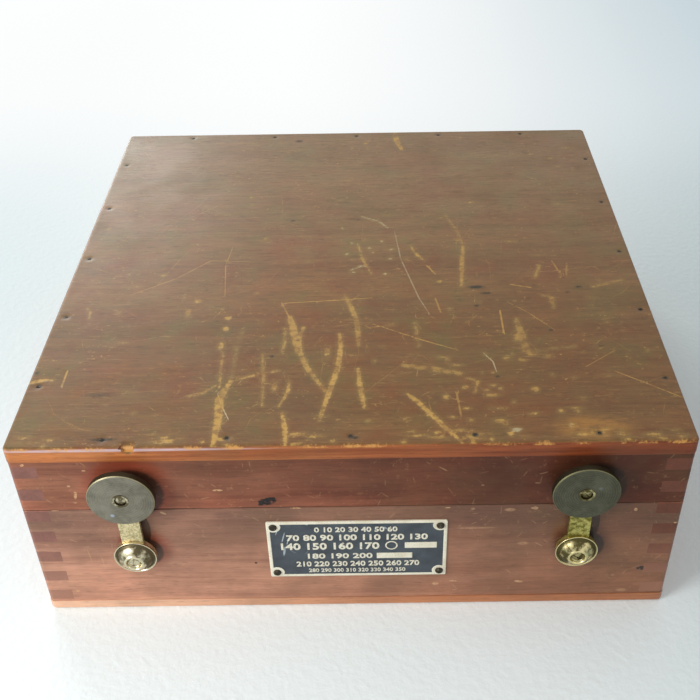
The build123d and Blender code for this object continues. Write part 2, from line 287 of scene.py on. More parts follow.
def put_piece(name, points, faces, material, body, stands_for=(), fields=None, sharp=40):
    """Stores points, in millimetres, and faces as a mesh that rides on a body."""
    mesh = bpy.data.meshes.new(name)
    mesh.from_pydata((points * MM).tolist(), [], faces)
    for field, values in (fields or {}).items():
        mesh.attributes.new(field, "FLOAT", "POINT").data.foreach_set("value", values.astype(np.float32))
    mesh.polygons.foreach_set("use_smooth", np.ones(len(mesh.polygons), bool))
    mesh.set_sharp_from_angle(angle=math.radians(sharp))
    mesh.materials.append(material)
    piece = bpy.data.objects.new(name, mesh)
    bpy.context.scene.collection.objects.link(piece)
    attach(piece, body)
    if stands_for:
        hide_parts(*stands_for)
    print(f"{name}: {len(mesh.loop_triangles)} triangles, {volume_of(mesh) / MM ** 3:.0f} mm3")
    return piece


# %% [markdown]
# Turned pieces need only half a cross section. It is written as a few corners, which are rounded
# as a file or a polishing wheel would round them, and then carried round the axis.

# %% Profiles and the lathe


def rounded(corners, cut, steps):
    """Rounds an open polyline. Each inner corner p is cut back to a and b on its two sides, and the
    piece between is the curve (1 - t)^2 a + 2 t (1 - t) p + t^2 b."""
    p = np.array(corners, float)
    cut = np.broadcast_to(np.asarray(cut, float), len(p))[:, None]
    before, after = np.roll(p, 1, 0), np.roll(p, -1, 0)
    length_in = np.linalg.norm(before - p, axis=1, keepdims=True)
    length_out = np.linalg.norm(after - p, axis=1, keepdims=True)
    a = p + (before - p) * np.minimum(cut / length_in, 0.49)
    b = p + (after - p) * np.minimum(cut / length_out, 0.49)
    t = np.linspace(0, 1, steps)[None, :, None]
    curve = (1 - t) ** 2 * a[:, None] + 2 * t * (1 - t) * p[:, None] + t ** 2 * b[:, None]
    return np.concatenate([p[:1], curve[1:-1].reshape(-1, 2), p[-1:]])


def lathe(profile, around):
    """Carries a profile of (radius, height) round the Z axis: point (i, k) has angle
    2 pi i / around, radius r_k and height h_k. The profile runs from the top down, and its two
    end rings get a flat face."""
    angle = np.linspace(0, 2 * np.pi, around, endpoint=False)
    radius, height = profile[:, :1], profile[:, 1:]
    points = np.stack(np.broadcast_arrays(radius * np.cos(angle), radius * np.sin(angle), height), -1)
    faces = [quad[::-1] for quad in grid_faces(len(profile), around, around=True)]
    bottom = (len(profile) - 1) * around
    faces += [list(range(around)), list(range(bottom + around - 1, bottom - 1, -1))]
    return points.reshape(-1, 3), faces


def on_front(points, x, z):
    """Stands a flat-made piece on the case's front: its X stays, its Y points up, and its Z points
    towards the viewer, which is -Y of the case."""
    return np.stack([points[:, 0] + x, front_y - points[:, 2], points[:, 1] + z], -1)


# %% [markdown]
# Wood moves and brass gets dented, so no face stays perfectly flat. Random heights on a lattice,
# blended smoothly between its knots, give that waviness at any size, and the same seed always gives
# the same surface.

# %% Random heights


def value_noise(x, y, size, seed):
    """Smooth random heights from -1 to 1: random numbers on a square lattice of that size, blended
    between the four nearest with the weight w * w * (3 - 2 w)."""
    lattice = np.random.default_rng(seed).uniform(-1, 1, (64, 64))
    u, v = x / size, y / size
    i, j = np.floor(u).astype(int), np.floor(v).astype(int)
    a, b = (w * w * (3 - 2 * w) for w in (u - i, v - j))
    low = lattice[i % 64, j % 64] * (1 - a) + lattice[(i + 1) % 64, j % 64] * a
    high = lattice[i % 64, (j + 1) % 64] * (1 - a) + lattice[(i + 1) % 64, (j + 1) % 64] * a
    return low * (1 - b) + high * b


# %% [markdown]
# ## Scratches as fields
#
# Scratches are far finer than any mesh that could carry them as geometry. Instead, each vertex
# stores numbers that the material turns into a mark. For a broad scrape it is how deep the vertex
# lies inside the scrape, which is smooth enough to store on a coarse grid. A fine line's depth would
# be lost between two vertices, so there it is how far to the left or right of the line the vertex
# lies. That is a straight ramp across the line, and a straight ramp survives a coarse grid.
# The strength and the tone of the nearest mark are stored beside them.

# %% Fields of the marks
broad_from = 0.75        # half width, in millimetres, from which a stroke counts as broad
fade_after = 0.7         # how far off a fine line its stored width starts to shrink


def nearest_on_line(p, line):
    """For each point p, its distance to a polyline of (x, y, half width), the half width at the
    nearest place, and the distance with its sign, positive to the left. On a segment from a to b
    the nearest place is a + t (b - a), with t = (p - a).(b - a) / |b - a|^2 kept from 0 to 1."""
    line = np.array(line, np.float32)
    start, run = line[:-1], np.diff(line, axis=0)
    to_p = p[:, None] - start[None, :, :2]
    square = (run[:, :2] ** 2).sum(1)
    t = np.clip(np.einsum("ijk,jk->ij", to_p, run[:, :2]) / square, 0, 1)
    far = np.linalg.norm(to_p - t[..., None] * run[:, :2], axis=-1)
    rows, best = np.arange(len(p)), far.argmin(1)
    left = run[best, 0] * to_p[rows, best, 1] - run[best, 1] * to_p[rows, best, 0]
    width = start[best, 2] + t[rows, best] * run[best, 2]
    return far[rows, best], width, np.sign(left) * far[rows, best]


def mark_fields(x, y, marks):
    """Fields of all marks: "scrape" is the largest depth inside a broad one, "line_offset" and
    "line_width" belong to the nearest fine line, and "mark_strength" and "mark_tone" to the nearest
    mark of all. A stroke's depth is its half width less the distance from it. A chip is a middle
    and two half sizes, and its depth is (1 - |((x - cx) / rx, (y - cy) / ry)|) times the smaller."""
    p = np.stack([x, y], -1).astype(np.float32)
    scrape, offset, width = (np.full(len(p), start) for start in (-9.0, 9.0, -5.0))
    strength, tone = np.zeros(len(p)), np.full(len(p), 0.5)
    nearest_fine = nearest = np.full(len(p), -99.0)
    for mark_strength, mark_tone, shape in marks:
        if np.ndim(shape) == 1:
            cx, cy, rx, ry = shape
            depth = (1 - np.hypot((x - cx) / rx, (y - cy) / ry)) * min(rx, ry)
        else:
            far, half, signed = nearest_on_line(p, shape)
            depth = half - far
        if np.ndim(shape) == 1 or max(point[2] for point in shape) >= broad_from:
            scrape = np.maximum(scrape, depth)
        else:
            closer = depth > nearest_fine
            offset = np.where(closer, signed, offset)
            width = np.where(closer, half + 2 * np.minimum(0, depth + fade_after), width)
            nearest_fine = np.maximum(nearest_fine, depth)
        closer = depth > nearest
        strength = np.where(closer, mark_strength, strength)
        tone = np.where(closer, mark_tone, tone)
        nearest = np.maximum(nearest, depth)
    return {"scrape": scrape, "line_offset": offset, "line_width": width,
            "mark_strength": strength, "mark_tone": tone}


# %% [markdown]
# Most scratches have no place worth noting. They are drawn from a seeded generator: many short
# ones and a few long ones, slightly bowed, as a hand drags things in an arc. Small spots of dirt
# are soft ellipses.

# %% Seeded strokes and spots


def random_strokes(count, half_x, half_y, seed, length=(8, 60), lean=(0.0, 3.14), half=(0.15, 0.35)):
    """Seeded strokes, each a start, a middle and an end. The length is low + u^2 (high - low) with u
    from 0 to 1, the middle is moved sideways by the bow, and the width is a fifth at both ends."""
    random = np.random.default_rng(seed)
    start = random.uniform((-half_x, -half_y), (half_x, half_y), (count, 2))
    angle = random.uniform(*lean, count)
    size = random.uniform(0, 1, count) ** 2 * (length[1] - length[0]) + length[0]
    bow = random.normal(0, 0.06, count) * size
    ahead = np.stack([np.cos(angle), np.sin(angle)], -1)
    side = np.stack([-ahead[:, 1], ahead[:, 0]], -1)
    middle = start + ahead * size[:, None] / 2 + side * bow[:, None]
    end = start + ahead * size[:, None]
    w = random.uniform(*half, count)[:, None]
    lines = np.stack([np.hstack([start, 0.2 * w]), np.hstack([middle, w]), np.hstack([end, 0.2 * w])], 1)
    return list(zip(random.uniform(0.15, 0.45, count), random.uniform(0, 0.8, count), lines))


def spot_field(x, y, places):
    """The deepest of some soft elliptic spots (x, y, rx, ry, strength) at each point: the strength
    times 1 less the distance from the spot's middle in its own half sizes."""
    cx, cy, rx, ry, strength = np.array(places, np.float32).T
    far = np.hypot((x[:, None] - cx) / rx, (y[:, None] - cy) / ry)
    return (strength * np.clip(1 - far, 0, 1)).max(1)


# %% [markdown]
# ## Varnished wood
#
# The boards are reddish, straight-grained and covered with old varnish that has gone brown. The
# grain is noise stretched many times along the board. Three sizes of it give broad bands, growth
# lines and single fibres, and short dashes give the pores. Where a face cuts across the fibres,
# as on the fingers of a corner joint, the pattern changes to the small dots of end grain. Wear
# takes the varnish off, which bares pale yellow wood, roughens it and lowers the surface a little.

# %% Varnished wood
pale_end = paint(192, 140, 112)        # end grain near the floor, where the varnish has gone
old_varnish = paint(104, 84, 58)
fibre_brown, pore_brown = (0.02, 0.01, 0.006, 1.0), (0.03, 0.015, 0.01, 1.0)      # linear light


def wood(name, grain, light, dark, end, seed, roughness=0.42, coat=0.3, specular=0.5, tint=None, worn=None):
    """A varnished board. grain is the axis that its fibres follow, 0 or 1 for X or Y. tint and worn
    add the board's own stains and damage: worn also says how bare each place is."""
    f = Finish(name, coat=coat, coat_roughness=0.22, specular=specular)
    place = f.place()
    mm = f.shift(place, (seed * 71.0, seed * 43.0, seed * 29.0))
    wave = f.noise(mm, 90, 1.0, output=1)
    bent = f.shift(mm, f.stretch(f.shift(wave, (-0.5, -0.5, -0.5)), (9.0, 9.0, 9.0)))

    def along(factor):
        return f.stretch(bent, tuple(factor if axis == grain else 1.0 for axis in range(3)))

    bands = f.noise(along(0.05), 22, 3.0, 0.6)
    lines = f.noise(along(0.02), 3.2, 3.0, 0.65)
    fibres = f.noise(along(0.05), 0.7, 2.0, 0.6)
    pores = f.step(f.noise(along(0.12), 0.8, 1.0), 0.6, 0.72)
    mottle = f.noise(mm, 34, 4.0, 0.6)

    tone = f.plus(f.times(bands, 0.55), f.times(lines, 0.45))
    colour = f.stain(light, dark, tone, 0.3, 0.7)
    if tint is not None:
        colour = tint(f, colour, place)
    colour = f.stain(colour, old_varnish, mottle, 0.35, 0.75, 0.0, 0.3)
    colour = f.stain(colour, fibre_brown, fibres, 0.3, 0.75, 0.0, 0.16)
    colour = f.mix(f.times(pores, 0.22), colour, pore_brown)

    dots = f.noise(mm, 0.9, 2.0, 0.7)
    end_colour = f.stain(end, dimmed(end, 0.4), dots, 0.3, 0.7, 0.0, 0.3)
    end_colour = f.scale(end_colour, f.step(f.noise(place, 11, 2.0), 0.35, 0.65, 0.84, 1.1))
    end_colour = f.stain(end_colour, pale_end, f.parts(place)[2], 4.0, 62.0, 0.5, 0.0)
    colour = f.stain(colour, end_colour, f.facing(grain), 0.6, 0.8, 0.0, 0.85)

    gloss = f.plus(f.step(mottle, 0.3, 0.7, -0.06, 0.08), roughness)
    height = f.minus(f.times(fibres, 0.25), f.times(pores, 0.35))
    normal = f.bump(f.noise(mm, 7.0, 2.0), 0.05, f.bump(height, 0.03))
    if worn is not None:
        colour, bare = worn(f, colour, place, fibres)
        gloss = f.plus(gloss, f.times(bare, 0.2))
        normal = f.bump(f.minus(0.0, bare), 0.07, normal)
    return f.finish(colour, gloss, normal)


red_light, red_dark = paint(176, 104, 72), paint(126, 64, 42)
base_light, base_dark = paint(190, 136, 110), paint(152, 100, 78)
end_grain = {"left": paint(124, 79, 69), "right": paint(95, 44, 20)}

# %% [markdown]
# ## Top panel
#
# The top is a flat slab with a rounded upper edge, nailed to the lid. A box with a bevel would do
# for its shape, but not for its surface, which a long life has dented and scraped. So the panel
# is a fine grid for the flat face, and a profile carried round it for the edge. The outer loops
# have the same number of points as the grid's border, spread evenly along each side from the
# middle of one rounded corner to the next.

# %% Top panel: loops
panel_spacing = 1.15
panel_border = 4.5              # from the panel's side to the border of the fine grid
panel_edge_radius = 1.5
panel_corner_radius = 2.7       # seen from above
seam_radius = 0.35              # of the lower arris
ding_x = (-105.4, -99.8)        # left and right end of the chip in the front arris


def fine_steps(low, high, spacing, extra=()):
    """Evenly spaced numbers from low to high, with pairs of close ones at the extra places."""
    even = np.linspace(low, high, round((high - low) / spacing) + 1)
    pairs = [place + shift for place in extra for shift in (-0.15, 0.15)]
    return np.unique(np.concatenate([even, pairs]))


def loop_side(share, half_length, radius):
    """Places along one side of a rounded rectangle, from one corner's middle to the next, as
    (position along the side, distance in from its line). The side is an eighth turn, a straight
    run and an eighth turn, and share is the part of its length that is covered."""
    arc, straight = radius * np.pi / 4, half_length - radius
    reach = (2 * share - 1) * (arc + straight)
    turn = np.clip((np.abs(reach) - straight) / max(radius, 1e-9), 0, np.pi / 4)
    position = np.sign(reach) * (np.minimum(np.abs(reach), straight) + radius * np.sin(turn))
    return position, radius * (1 - np.cos(turn))


def rectangle_loop(share_x, share_y, half_x, half_y, radius):
    """The whole rounded rectangle, anticlockwise from the corner at low X and low Y."""
    px, ix = loop_side(share_x[:-1], half_x, radius)
    py, iy = loop_side(share_y[:-1], half_y, radius)
    back_x, back_ix = loop_side(share_x[:0:-1], half_x, radius)
    back_y, back_iy = loop_side(share_y[:0:-1], half_y, radius)
    front_side = np.stack([px, -half_y + ix], -1)
    right_side = np.stack([half_x - iy, py], -1)
    back_side = np.stack([back_x, half_y - back_ix], -1)
    left_side = np.stack([-half_x + back_iy, back_y], -1)
    return np.concatenate([front_side, right_side, back_side, left_side])


panel_x, panel_y = top_high[0], top_high[1]
panel_columns = fine_steps(-panel_x + panel_border, panel_x - panel_border, panel_spacing, ding_x)
panel_rows = fine_steps(-panel_y + panel_border, panel_y - panel_border, panel_spacing)
print("the panel's grid has", len(panel_columns), "columns and", len(panel_rows), "rows")

# %% [markdown]
# The skin is built from that grid outwards. The edge's profile is a list of insets with heights,
# and each of them becomes one loop. A band of quads ties the grid's border to the first loop, more
# bands tie each loop to the next, and one flat face closes the bottom.

# %% Top panel: skin


def slab(half_x, half_y, low, high, border, corner, edge, seam, columns, rows):
    """Points and faces of a slab with a fine top. The edge's profile is an inset and a height:
    a quarter circle over the arris, a straight drop, and a small quarter circle at the seam."""
    gx, gy = np.meshgrid(columns, rows)
    flat = np.stack([gx.ravel(), gy.ravel(), np.full(gx.size, high)], -1)
    n, m = len(columns), len(rows)
    rim = grid_rim(m, n)
    turn = np.linspace(0, np.pi / 2, 7)
    over = np.stack([edge * (1 - np.sin(turn)), high - edge * (1 - np.cos(turn))], -1)
    heights = np.linspace(high - edge, low + seam, 7)[1:-1]
    drop = np.stack([np.zeros(len(heights)), heights], -1)
    under = np.stack([seam * (1 - np.cos(turn[::2])), low + seam * (1 - np.sin(turn[::2]))], -1)
    lead = np.array([[(border + edge) / 2, high]])
    profile = np.concatenate([lead, over, drop, under])
    share_x = (columns - columns[0]) / (columns[-1] - columns[0])
    share_y = (rows - rows[0]) / (rows[-1] - rows[0])
    loops = [
        np.column_stack([
            rectangle_loop(share_x, share_y, half_x - inset, half_y - inset, max(corner - inset, 0.0)),
            np.full(len(rim), height),
        ])
        for inset, height in profile
    ]
    count = len(rim)
    points = np.concatenate([flat, *loops])
    faces = grid_faces(m, n)
    first = np.arange(count) + n * m
    faces += np.stack([rim, first, np.roll(first, -1), np.roll(rim, -1)], -1).tolist()
    faces += [quad[::-1] for quad in grid_faces(len(loops), count, around=True, first=n * m)]
    last = n * m + (len(loops) - 1) * count
    faces.append(list(range(last + count - 1, last - 1, -1)))
    return points, faces


panel_points, panel_faces = slab(
    panel_x, panel_y, top_low[2], top_high[2], panel_border, panel_corner_radius,
    panel_edge_radius, seam_radius, panel_columns, panel_rows)
print("top panel", len(panel_points), "points")

# %% [markdown]
# ## Marks of the top
#
# Only the scrapes that a viewer would recognise are placed one by one. Their places are whole
# millimetres from the panel's middle, read against a millimetre grid. Things were dragged on and
# off the case at its front, so the longest ones run from there to the middle. Each has one of
# three strengths, a tone from 0, olive, over 0.5, tan, to 1, chalky, and one of four widths, and
# narrows at both ends. A chip has a middle and a size. The many small chips have no place of their
# own, so a seeded function scatters them in the zones where the wear is.

# %% Marks of the top
olive, tan, chalky = 0.1, 0.5, 1.0
faint, clear, strong = 0.4, 0.6, 0.8
hair, narrow, middle, broad = 0.5, 1.0, 1.5, 2.2      # half widths
scrapes = [
    (strong, tan, broad, [(-63, -161), (-63, -140), (-64, -128), (-60, -115)]),
    (clear, tan, narrow, [(-60, -115), (-46, -109), (-37, -107)]),
    (strong, chalky, hair, [(-66, -122), (-62, -134), (-58, -143)]),
    (clear, tan, narrow, [(-79, -126), (-72, -123), (-67, -118)]),
    (clear, tan, narrow, [(-67, -88), (-66, -104), (-65, -120)]),
    (faint, olive, narrow, [(-60, -112), (-60, -90), (-58, -72)]),
    (faint, tan, narrow, [(-46, -93), (-44, -112), (-43, -134)]),
    (faint, tan, narrow, [(-39, -48), (-34, -62)]),
    (clear, tan, broad, [(-34, -61), (-32, -69), (-30, -80), (-28, -92)]),
    (clear, tan, middle, [(-26, -70), (-28, -82), (-27, -92), (-23, -104), (-12, -125)]),
    (clear, tan, narrow, [(-36, -71), (-35, -81), (-36, -92)]),
    (strong, tan, middle, [(-7, -77), (-6, -88), (-7, -105), (-11, -124), (-15, -145)]),
    (strong, tan, narrow, [(-31, -114), (-31, -123), (-35, -135)]),
    (strong, tan, middle, [(-33, -139), (-31, -150), (-30, -161)]),
    (clear, tan, middle, [(-5, -41), (-1, -53), (2, -66), (3, -79), (3, -87)]),
    (strong, tan, middle, [(3, -106), (4, -119), (5, -127), (6, -136)]),
    (clear, tan, hair, [(-38, -48), (-10, -46), (10, -44)]),
    (strong, tan, middle, [(27, -126), (31, -131), (39, -143), (44, -151), (51, -161)]),
    (faint, chalky, hair, [(24, 26), (27, -5), (36, -45), (41, -60)]),
    (faint, tan, narrow, [(56, 44), (62, 24), (64, 8)]),
    (clear, tan, middle, [(64, 8), (62, -10), (60, -34)]),
    (clear, tan, narrow, [(79, -58), (79, -78)]),
    (clear, tan, narrow, [(88, -33), (98, -36)]),
    (clear, tan, narrow, [(57, -115), (62, -117), (60, -126)]),
    (faint, tan, broad, [(26, -104), (40, -107), (54, -111)]),
    (clear, chalky, hair, [(67, -95), (71, -102), (72, -110)]),
    (clear, tan, hair, [(131, -111), (146, -122), (161, -133)]),
    (faint, tan, hair, [(117, -107), (134, -94)]),
    (strong, tan, middle, [(-161, -115), (-155, -112), (-149, -112)]),
    (faint, tan, narrow, [(-145, -50), (-142, -55), (-142, -60)]),
    (clear, tan, narrow, [(-143, -105), (-143, -117)]),
    (faint, tan, hair, [(-123, -38), (-100, -22), (-83, -4), (-58, -6)]),
    (faint, tan, hair, [(-72, 10), (-74, -10), (-71, -40)]),
    (clear, tan, broad, [(27, 161), (28, 148), (31, 134)]),
    (clear, chalky, narrow, [(4, 44), (15, 38), (20, 30)]),
    (strong, tan, narrow, [(33, 9), (36, 0), (41, -8)]),
    (clear, chalky, narrow, [(-2, -16), (4, -12), (9, -13)]),
    (clear, tan, narrow, [(42, -13), (46, -21)]),
    (clear, tan, narrow, [(2, 12), (5, -6), (10, -20)]),
    (faint, tan, broad, [(87, -66), (88, -80), (90, -96)]),
    (faint, olive, narrow, [(90, -95), (102, -92), (114, -90)]),
    (faint, tan, middle, [(106, -14), (102, -26)]),
    (faint, tan, narrow, [(114, -10), (117, -24)]),
    (faint, tan, narrow, [(122, -12), (120, -24)]),
    (faint, tan, narrow, [(104, -44), (109, -46), (108, -56)]),
    (faint, tan, middle, [(133, -36), (141, -33), (150, -30)]),
    (faint, tan, hair, [(84, -50), (94, -60), (106, -76)]),
    (faint, tan, middle, [(33, -68), (34, -88)]),
    (faint, tan, narrow, [(45, -46), (47, -58)]),
    (clear, tan, hair, [(10, -68), (36, -83), (54, -92)]),
    (faint, tan, narrow, [(51, -126), (52, -143)]),
]
round_chip, long_chip, flat_chip = (2.0, 2.0), (1.5, 3.5), (3.0, 1.5)      # half sizes
dabs = [
    (strong, tan, (-67, -61), round_chip), (strong, tan, (-67, -71), round_chip),
    (strong, tan, (-85, -45), round_chip), (clear, tan, (-89, -56), long_chip),
    (clear, tan, (-68, -86), long_chip), (strong, tan, (-13, -92), long_chip),
    (clear, tan, (-38, -119), long_chip), (clear, tan, (108, -49), long_chip),
    (clear, tan, (85, -81), long_chip), (clear, tan, (88, -91), long_chip),
    (strong, tan, (70, -147), flat_chip), (clear, chalky, (77, -153), flat_chip),
    (clear, tan, (68, -128), flat_chip),
]
dark_spots = [
    (68, -35, 8, 3, 0.9), (73, -41, 6, 2, 0.8), (67, -53, 3, 2, 0.8), (125, -36, 4, 2, 0.8),
    (118, -41, 3, 2, 0.7), (104, -76, 3, 2, 0.7), (128, -90, 3, 2, 0.6), (72, -114, 3, 2, 0.7),
    (-41, -95, 2, 2, 0.9), (2, -157, 3, 2, 0.9), (-124, -124, 18, 4, 0.5), (-158, -106, 3, 2, 0.8),
    (-115, -156, 12, 2, 0.8), (-38, 40, 3, 2, 0.8), (-40, 149, 5, 3, 0.8),
]


def tapered(strength, tone, half, places, end=0.6):
    """A scrape's places with their half widths, which shrink to a share at its two ends."""
    inner = [(x, y, half) for x, y in places[1:-1]]
    first, last = [(x, y, end * half) for x, y in (places[0], places[-1])]
    return strength, tone, [first, *inner, last]


def random_dabs(count, low, high, half_low, half_high, tones, seed):
    """Seeded chips between two corners (x, y), with their half sizes and tones between two limits."""
    random = np.random.default_rng(seed)
    middle, half = random.uniform(low, high, (count, 2)), random.uniform(half_low, half_high, (count, 2))
    strengths, tones = random.uniform(0.4, 0.85, count), random.uniform(*tones, count)
    return list(zip(strengths, tones, np.hstack([middle, half])))


front_chips = random_dabs(46, (-158, -161), (158, -153), (1.0, 0.6), (4.0, 1.4), (0.4, 0.6), 31)
battered_right = random_dabs(34, (45, -158), (112, -95), (0.6, 0.6), (2.2, 2.0), (0.4, 0.75), 32)
chalk_middle = random_dabs(14, (-8, -22), (24, 46), (0.5, 0.5), (1.5, 1.4), (0.8, 1.0), 33)
elsewhere = random_dabs(60, (-155, -150), (155, 155), (0.5, 0.4), (2.0, 1.4), (0.2, 0.7), 34)
placed_chips = [(strength, tone, (*place, *half)) for strength, tone, place, half in dabs]
chips = placed_chips + front_chips + battered_right + chalk_middle + elsewhere
print(len(scrapes), "scrapes and", len(dabs), "chips placed by hand;", len(chips) - len(dabs), "scattered")

# %% [markdown]
# ## Where the wear is
#
# Besides the placed scrapes the panel carries seeded scratches: long hairs in all directions, long
# ones along the grain, and short nicks that crowd where things were set down near the front. Its
# edges are rubbed bare, dirt and a small dent surround each nail, and one chip is out of the front
# arris. All of it is worked out on the panel's points. Colour and gloss follow fields, which cost
# nothing in the shape, and only what stands in real relief moves a point.

# %% Top panel: nails and edges
brad_run, brad_head = 45.0, 1.5      # from the case's end to the last nail, and a head's radius
brad_high = box_mm("top_panel_brads")[1]
brad_line_x, brad_line_y = brad_high[0] - brad_head, brad_high[1] - brad_head
brad_places = [
    place
    for share in (-1, -0.5, 0, 0.5, 1)
    for sign in (-1, 1)
    for place in ((share * (case_half_x - brad_run), sign * brad_line_y),
                  (sign * brad_line_x, share * (case_half_y - brad_run)))
]
rub_reach = 1.6
ding_reach = 3.4


def edge_rub(x, y, half_x, half_y):
    """Wear that fades as exp(-distance / reach) from the panel's edges, twice as strong on the front
    arris, times two sizes of noise that break it up."""
    front = 0.95 * np.exp(-(y + half_y) / rub_reach)
    others = 0.45 * np.exp(-np.minimum(half_x - np.abs(x), half_y - y) / rub_reach)
    patchy = 0.5 + 0.5 * value_noise(x, y, 9.0, 3) + 0.3 * value_noise(x, y, 2.5, 4)
    return (front + others) * np.clip(patchy, 0.05, 1.4)


def ding(x, y):
    """The chip in the front arris: 1 at the edge inside its width, falling to 0 over its reach."""
    inside = (x > ding_x[0]) & (x < ding_x[1])
    return inside * np.clip(1 - (y + panel_y) / ding_reach, 0, 1)


print(len(brad_places), "nails, and a chip between x", ding_x)

# %% [markdown]
# The seeded strokes come in four groups: hairs in all directions, hairs along the grain, nicks all
# over, and nicks that crowd left of the middle near the front. Every stroke and chip then goes into
# one set of fields, in which the nearest mark wins.

# %% Top panel: fields
px, py, pz = panel_points.T.copy()
reach_x, reach_y = 155, 158
hairs = random_strokes(150, reach_x, reach_y, 11, lean=(0.2, 2.9))
hairs += random_strokes(80, reach_x, reach_y, 12, lean=(-0.15, 0.15))
nicks = random_strokes(90, reach_x, reach_y, 13, length=(2, 7), half=(0.2, 0.6))
crowd_half, crowd_middle, crowd_front = (80, 58), (-14, -96), -159
for strength, tone, line in random_strokes(110, *crowd_half, 14, length=(3, 16), half=(0.2, 0.45)):
    line[:, 0] += crowd_middle[0]
    line[:, 1] = np.maximum(line[:, 1] + crowd_middle[1], crowd_front)
    nicks.append((strength + 0.1, tone, line))
placed = [tapered(*row) for row in scrapes]
panel_fields = mark_fields(px, py, placed + hairs + nicks + chips)
brad_spots = spot_field(px, py, [(x, y, 3.0, 3.0, 1.0) for x, y in brad_places])
least_spot, most_spot = (-155, -155, 0.8, 0.6, 0.2), (155, 155, 2.4, 1.3, 0.7)
random_spots = np.random.default_rng(21).uniform(least_spot, most_spot, (70, 5))
grime = np.maximum(spot_field(px, py, dark_spots), spot_field(px, py, random_spots))
face_up = pz > top_high[2] - 0.01
upper_edge = pz > top_high[2] - 2.5
notch = ding(px, py) * np.clip((pz - top_high[2] + 3.5) / 2, 0, 1)
panel_fields["rub"] = edge_rub(px, py, panel_x, panel_y) * upper_edge + 1.2 * notch
panel_fields["grime"] = np.maximum(grime, 0.8 * brad_spots) * face_up
print(len(placed), "placed scrapes,", len(hairs), "hairs and", len(nicks), "nicks")

# %% [markdown]
# Three things stand in real relief: the chip in the arris, which falls down and back, the shallow
# dent that the hammer left round each nail, and the waves of a board that has dried.

# %% Top panel: dents
notch_depth, notch_inset, hammer_dent = 1.7, 1.3, 0.22
sunk = notch_depth * notch + hammer_dent * np.clip(brad_spots * 1.6, 0, 1)
sunk += face_up * (0.05 * value_noise(px, py, 40, 5) + 0.03 * value_noise(px, py, 11, 6) + 0.03)
panel_points[:, 2] -= sunk * (pz > top_low[2] + 1)
panel_points[:, 1] += notch_inset * notch * (py < -panel_y + 2)
print(f"the deepest dent is {sunk.max():.2f} mm")

# %% [markdown]
# ## Finish of the top
#
# The varnish of the top is browner than that of the sides, and no two hand's breadths of it are the
# same colour. So its tint is laid on in layers, as the years did: streaks, olive and reddish
# patches, small blotches and a rubbed patch near the front. Over them lie a painted sheen, which
# greys and brightens the top towards the back, and painted shade, which darkens it to the right.
# Then the fields cut the marks out of it down to the bare wood.

# %% Tint of the top


def facing_up(f):
    """1 where the surface faces up or down, 0 on the panel's edge."""
    return f.step(f.facing(2), 0.35, 0.8)


warm_place, warm_half = (113, -152, top_high[2]), (25, 12, 30)
# Where the painted highlight lies on the front arris, and its half sizes.
arris_highlight_place, arris_highlight_half = (-110, -panel_y, top_high[2] - 1.6), (90, 3, 1.1)


def top_tint(f, colour, place):
    """Streaks and blotches, a painted sheen to the back, painted shade to the right, and rubbed to
    orange near the front right corner. The panel's edge has a colour of its own."""
    x, y, _ = f.parts(place)
    streaks = f.noise(f.stretch(place, (0.02, 1.0, 1.0)), 14, 2.0)
    colour = f.stain(colour, paint(130, 104, 62), streaks, 0.35, 0.7, 0.0, 0.35)
    olive_patch = f.noise(f.shift(place, (90.0, 20.0, 0.0)), 26, 5.0, 0.68)
    colour = f.stain(colour, paint(122, 112, 62), olive_patch, 0.5, 0.66, 0.0, 0.5)
    colour = f.stain(colour, paint(132, 76, 46), olive_patch, 0.34, 0.48, 0.5, 0.0)
    colour = f.stain(colour, paint(146, 86, 48), f.noise(place, 60, 2.0), 0.4, 0.7, 0.0, 0.35)
    blotches = f.noise(f.stretch(place, (0.5, 1.0, 1.0)), 9, 4.0, 0.7)
    colour = f.stain(colour, paint(112, 92, 56), blotches, 0.5, 0.72, 0.0, 0.4)
    colour = f.stain(colour, paint(150, 94, 58), blotches, 0.28, 0.46, 0.35, 0.0)
    # Painted sheen: a pale grey veil towards the back.
    colour = f.stain(colour, paint(132, 120, 98), y, -90.0, 150.0, 0.0, 0.4)
    # Painted shade: darker towards the right.
    colour = f.stain(colour, paint(96, 62, 34), x, -20.0, 160.0, 0.0, 0.26)
    warm = f.smudge(place, warm_place, warm_half, 0, 0.8)
    warm = f.times(warm, f.step(f.noise(place, 6, 3.0), 0.3, 0.6, 0.35, 1.0))
    colour = f.mix(warm, colour, paint(184, 130, 64))
    # Painted sheen: darker at the front, brighter towards the back.
    colour = f.scale(colour, f.step(y, -150.0, 120.0, 0.88, 1.17))
    return f.mix(facing_up(f), top_edge(f, place), colour)


def top_edge(f, place):
    """The panel's edge is orange, darker to the right, with a painted highlight on the front arris at the
    left.
    """
    fine = f.step(f.noise(f.stretch(place, (0.03, 1.0, 1.0)), 2.5, 3.0), 0.35, 0.7)
    left_edge = f.mix(fine, paint(196, 120, 66), paint(160, 86, 44))
    right_edge = f.mix(fine, paint(150, 76, 42), paint(112, 52, 28))
    edge = f.stain(left_edge, right_edge, f.parts(place)[0], -120.0, 110.0)
    arris_highlight = f.smudge(place, arris_highlight_place, arris_highlight_half, 0, 0.6)
    return f.mix(f.times(arris_highlight, 0.8), edge, paint(208, 184, 188))


# %% [markdown]
# The wear is cut out of that tint in the order in which it came. Dust and dark grease lie in the
# pores, specks show where the top was used most, then come the scrapes and the rubbed edges, and
# dirt lies over all of them.

# %% Wear of the top


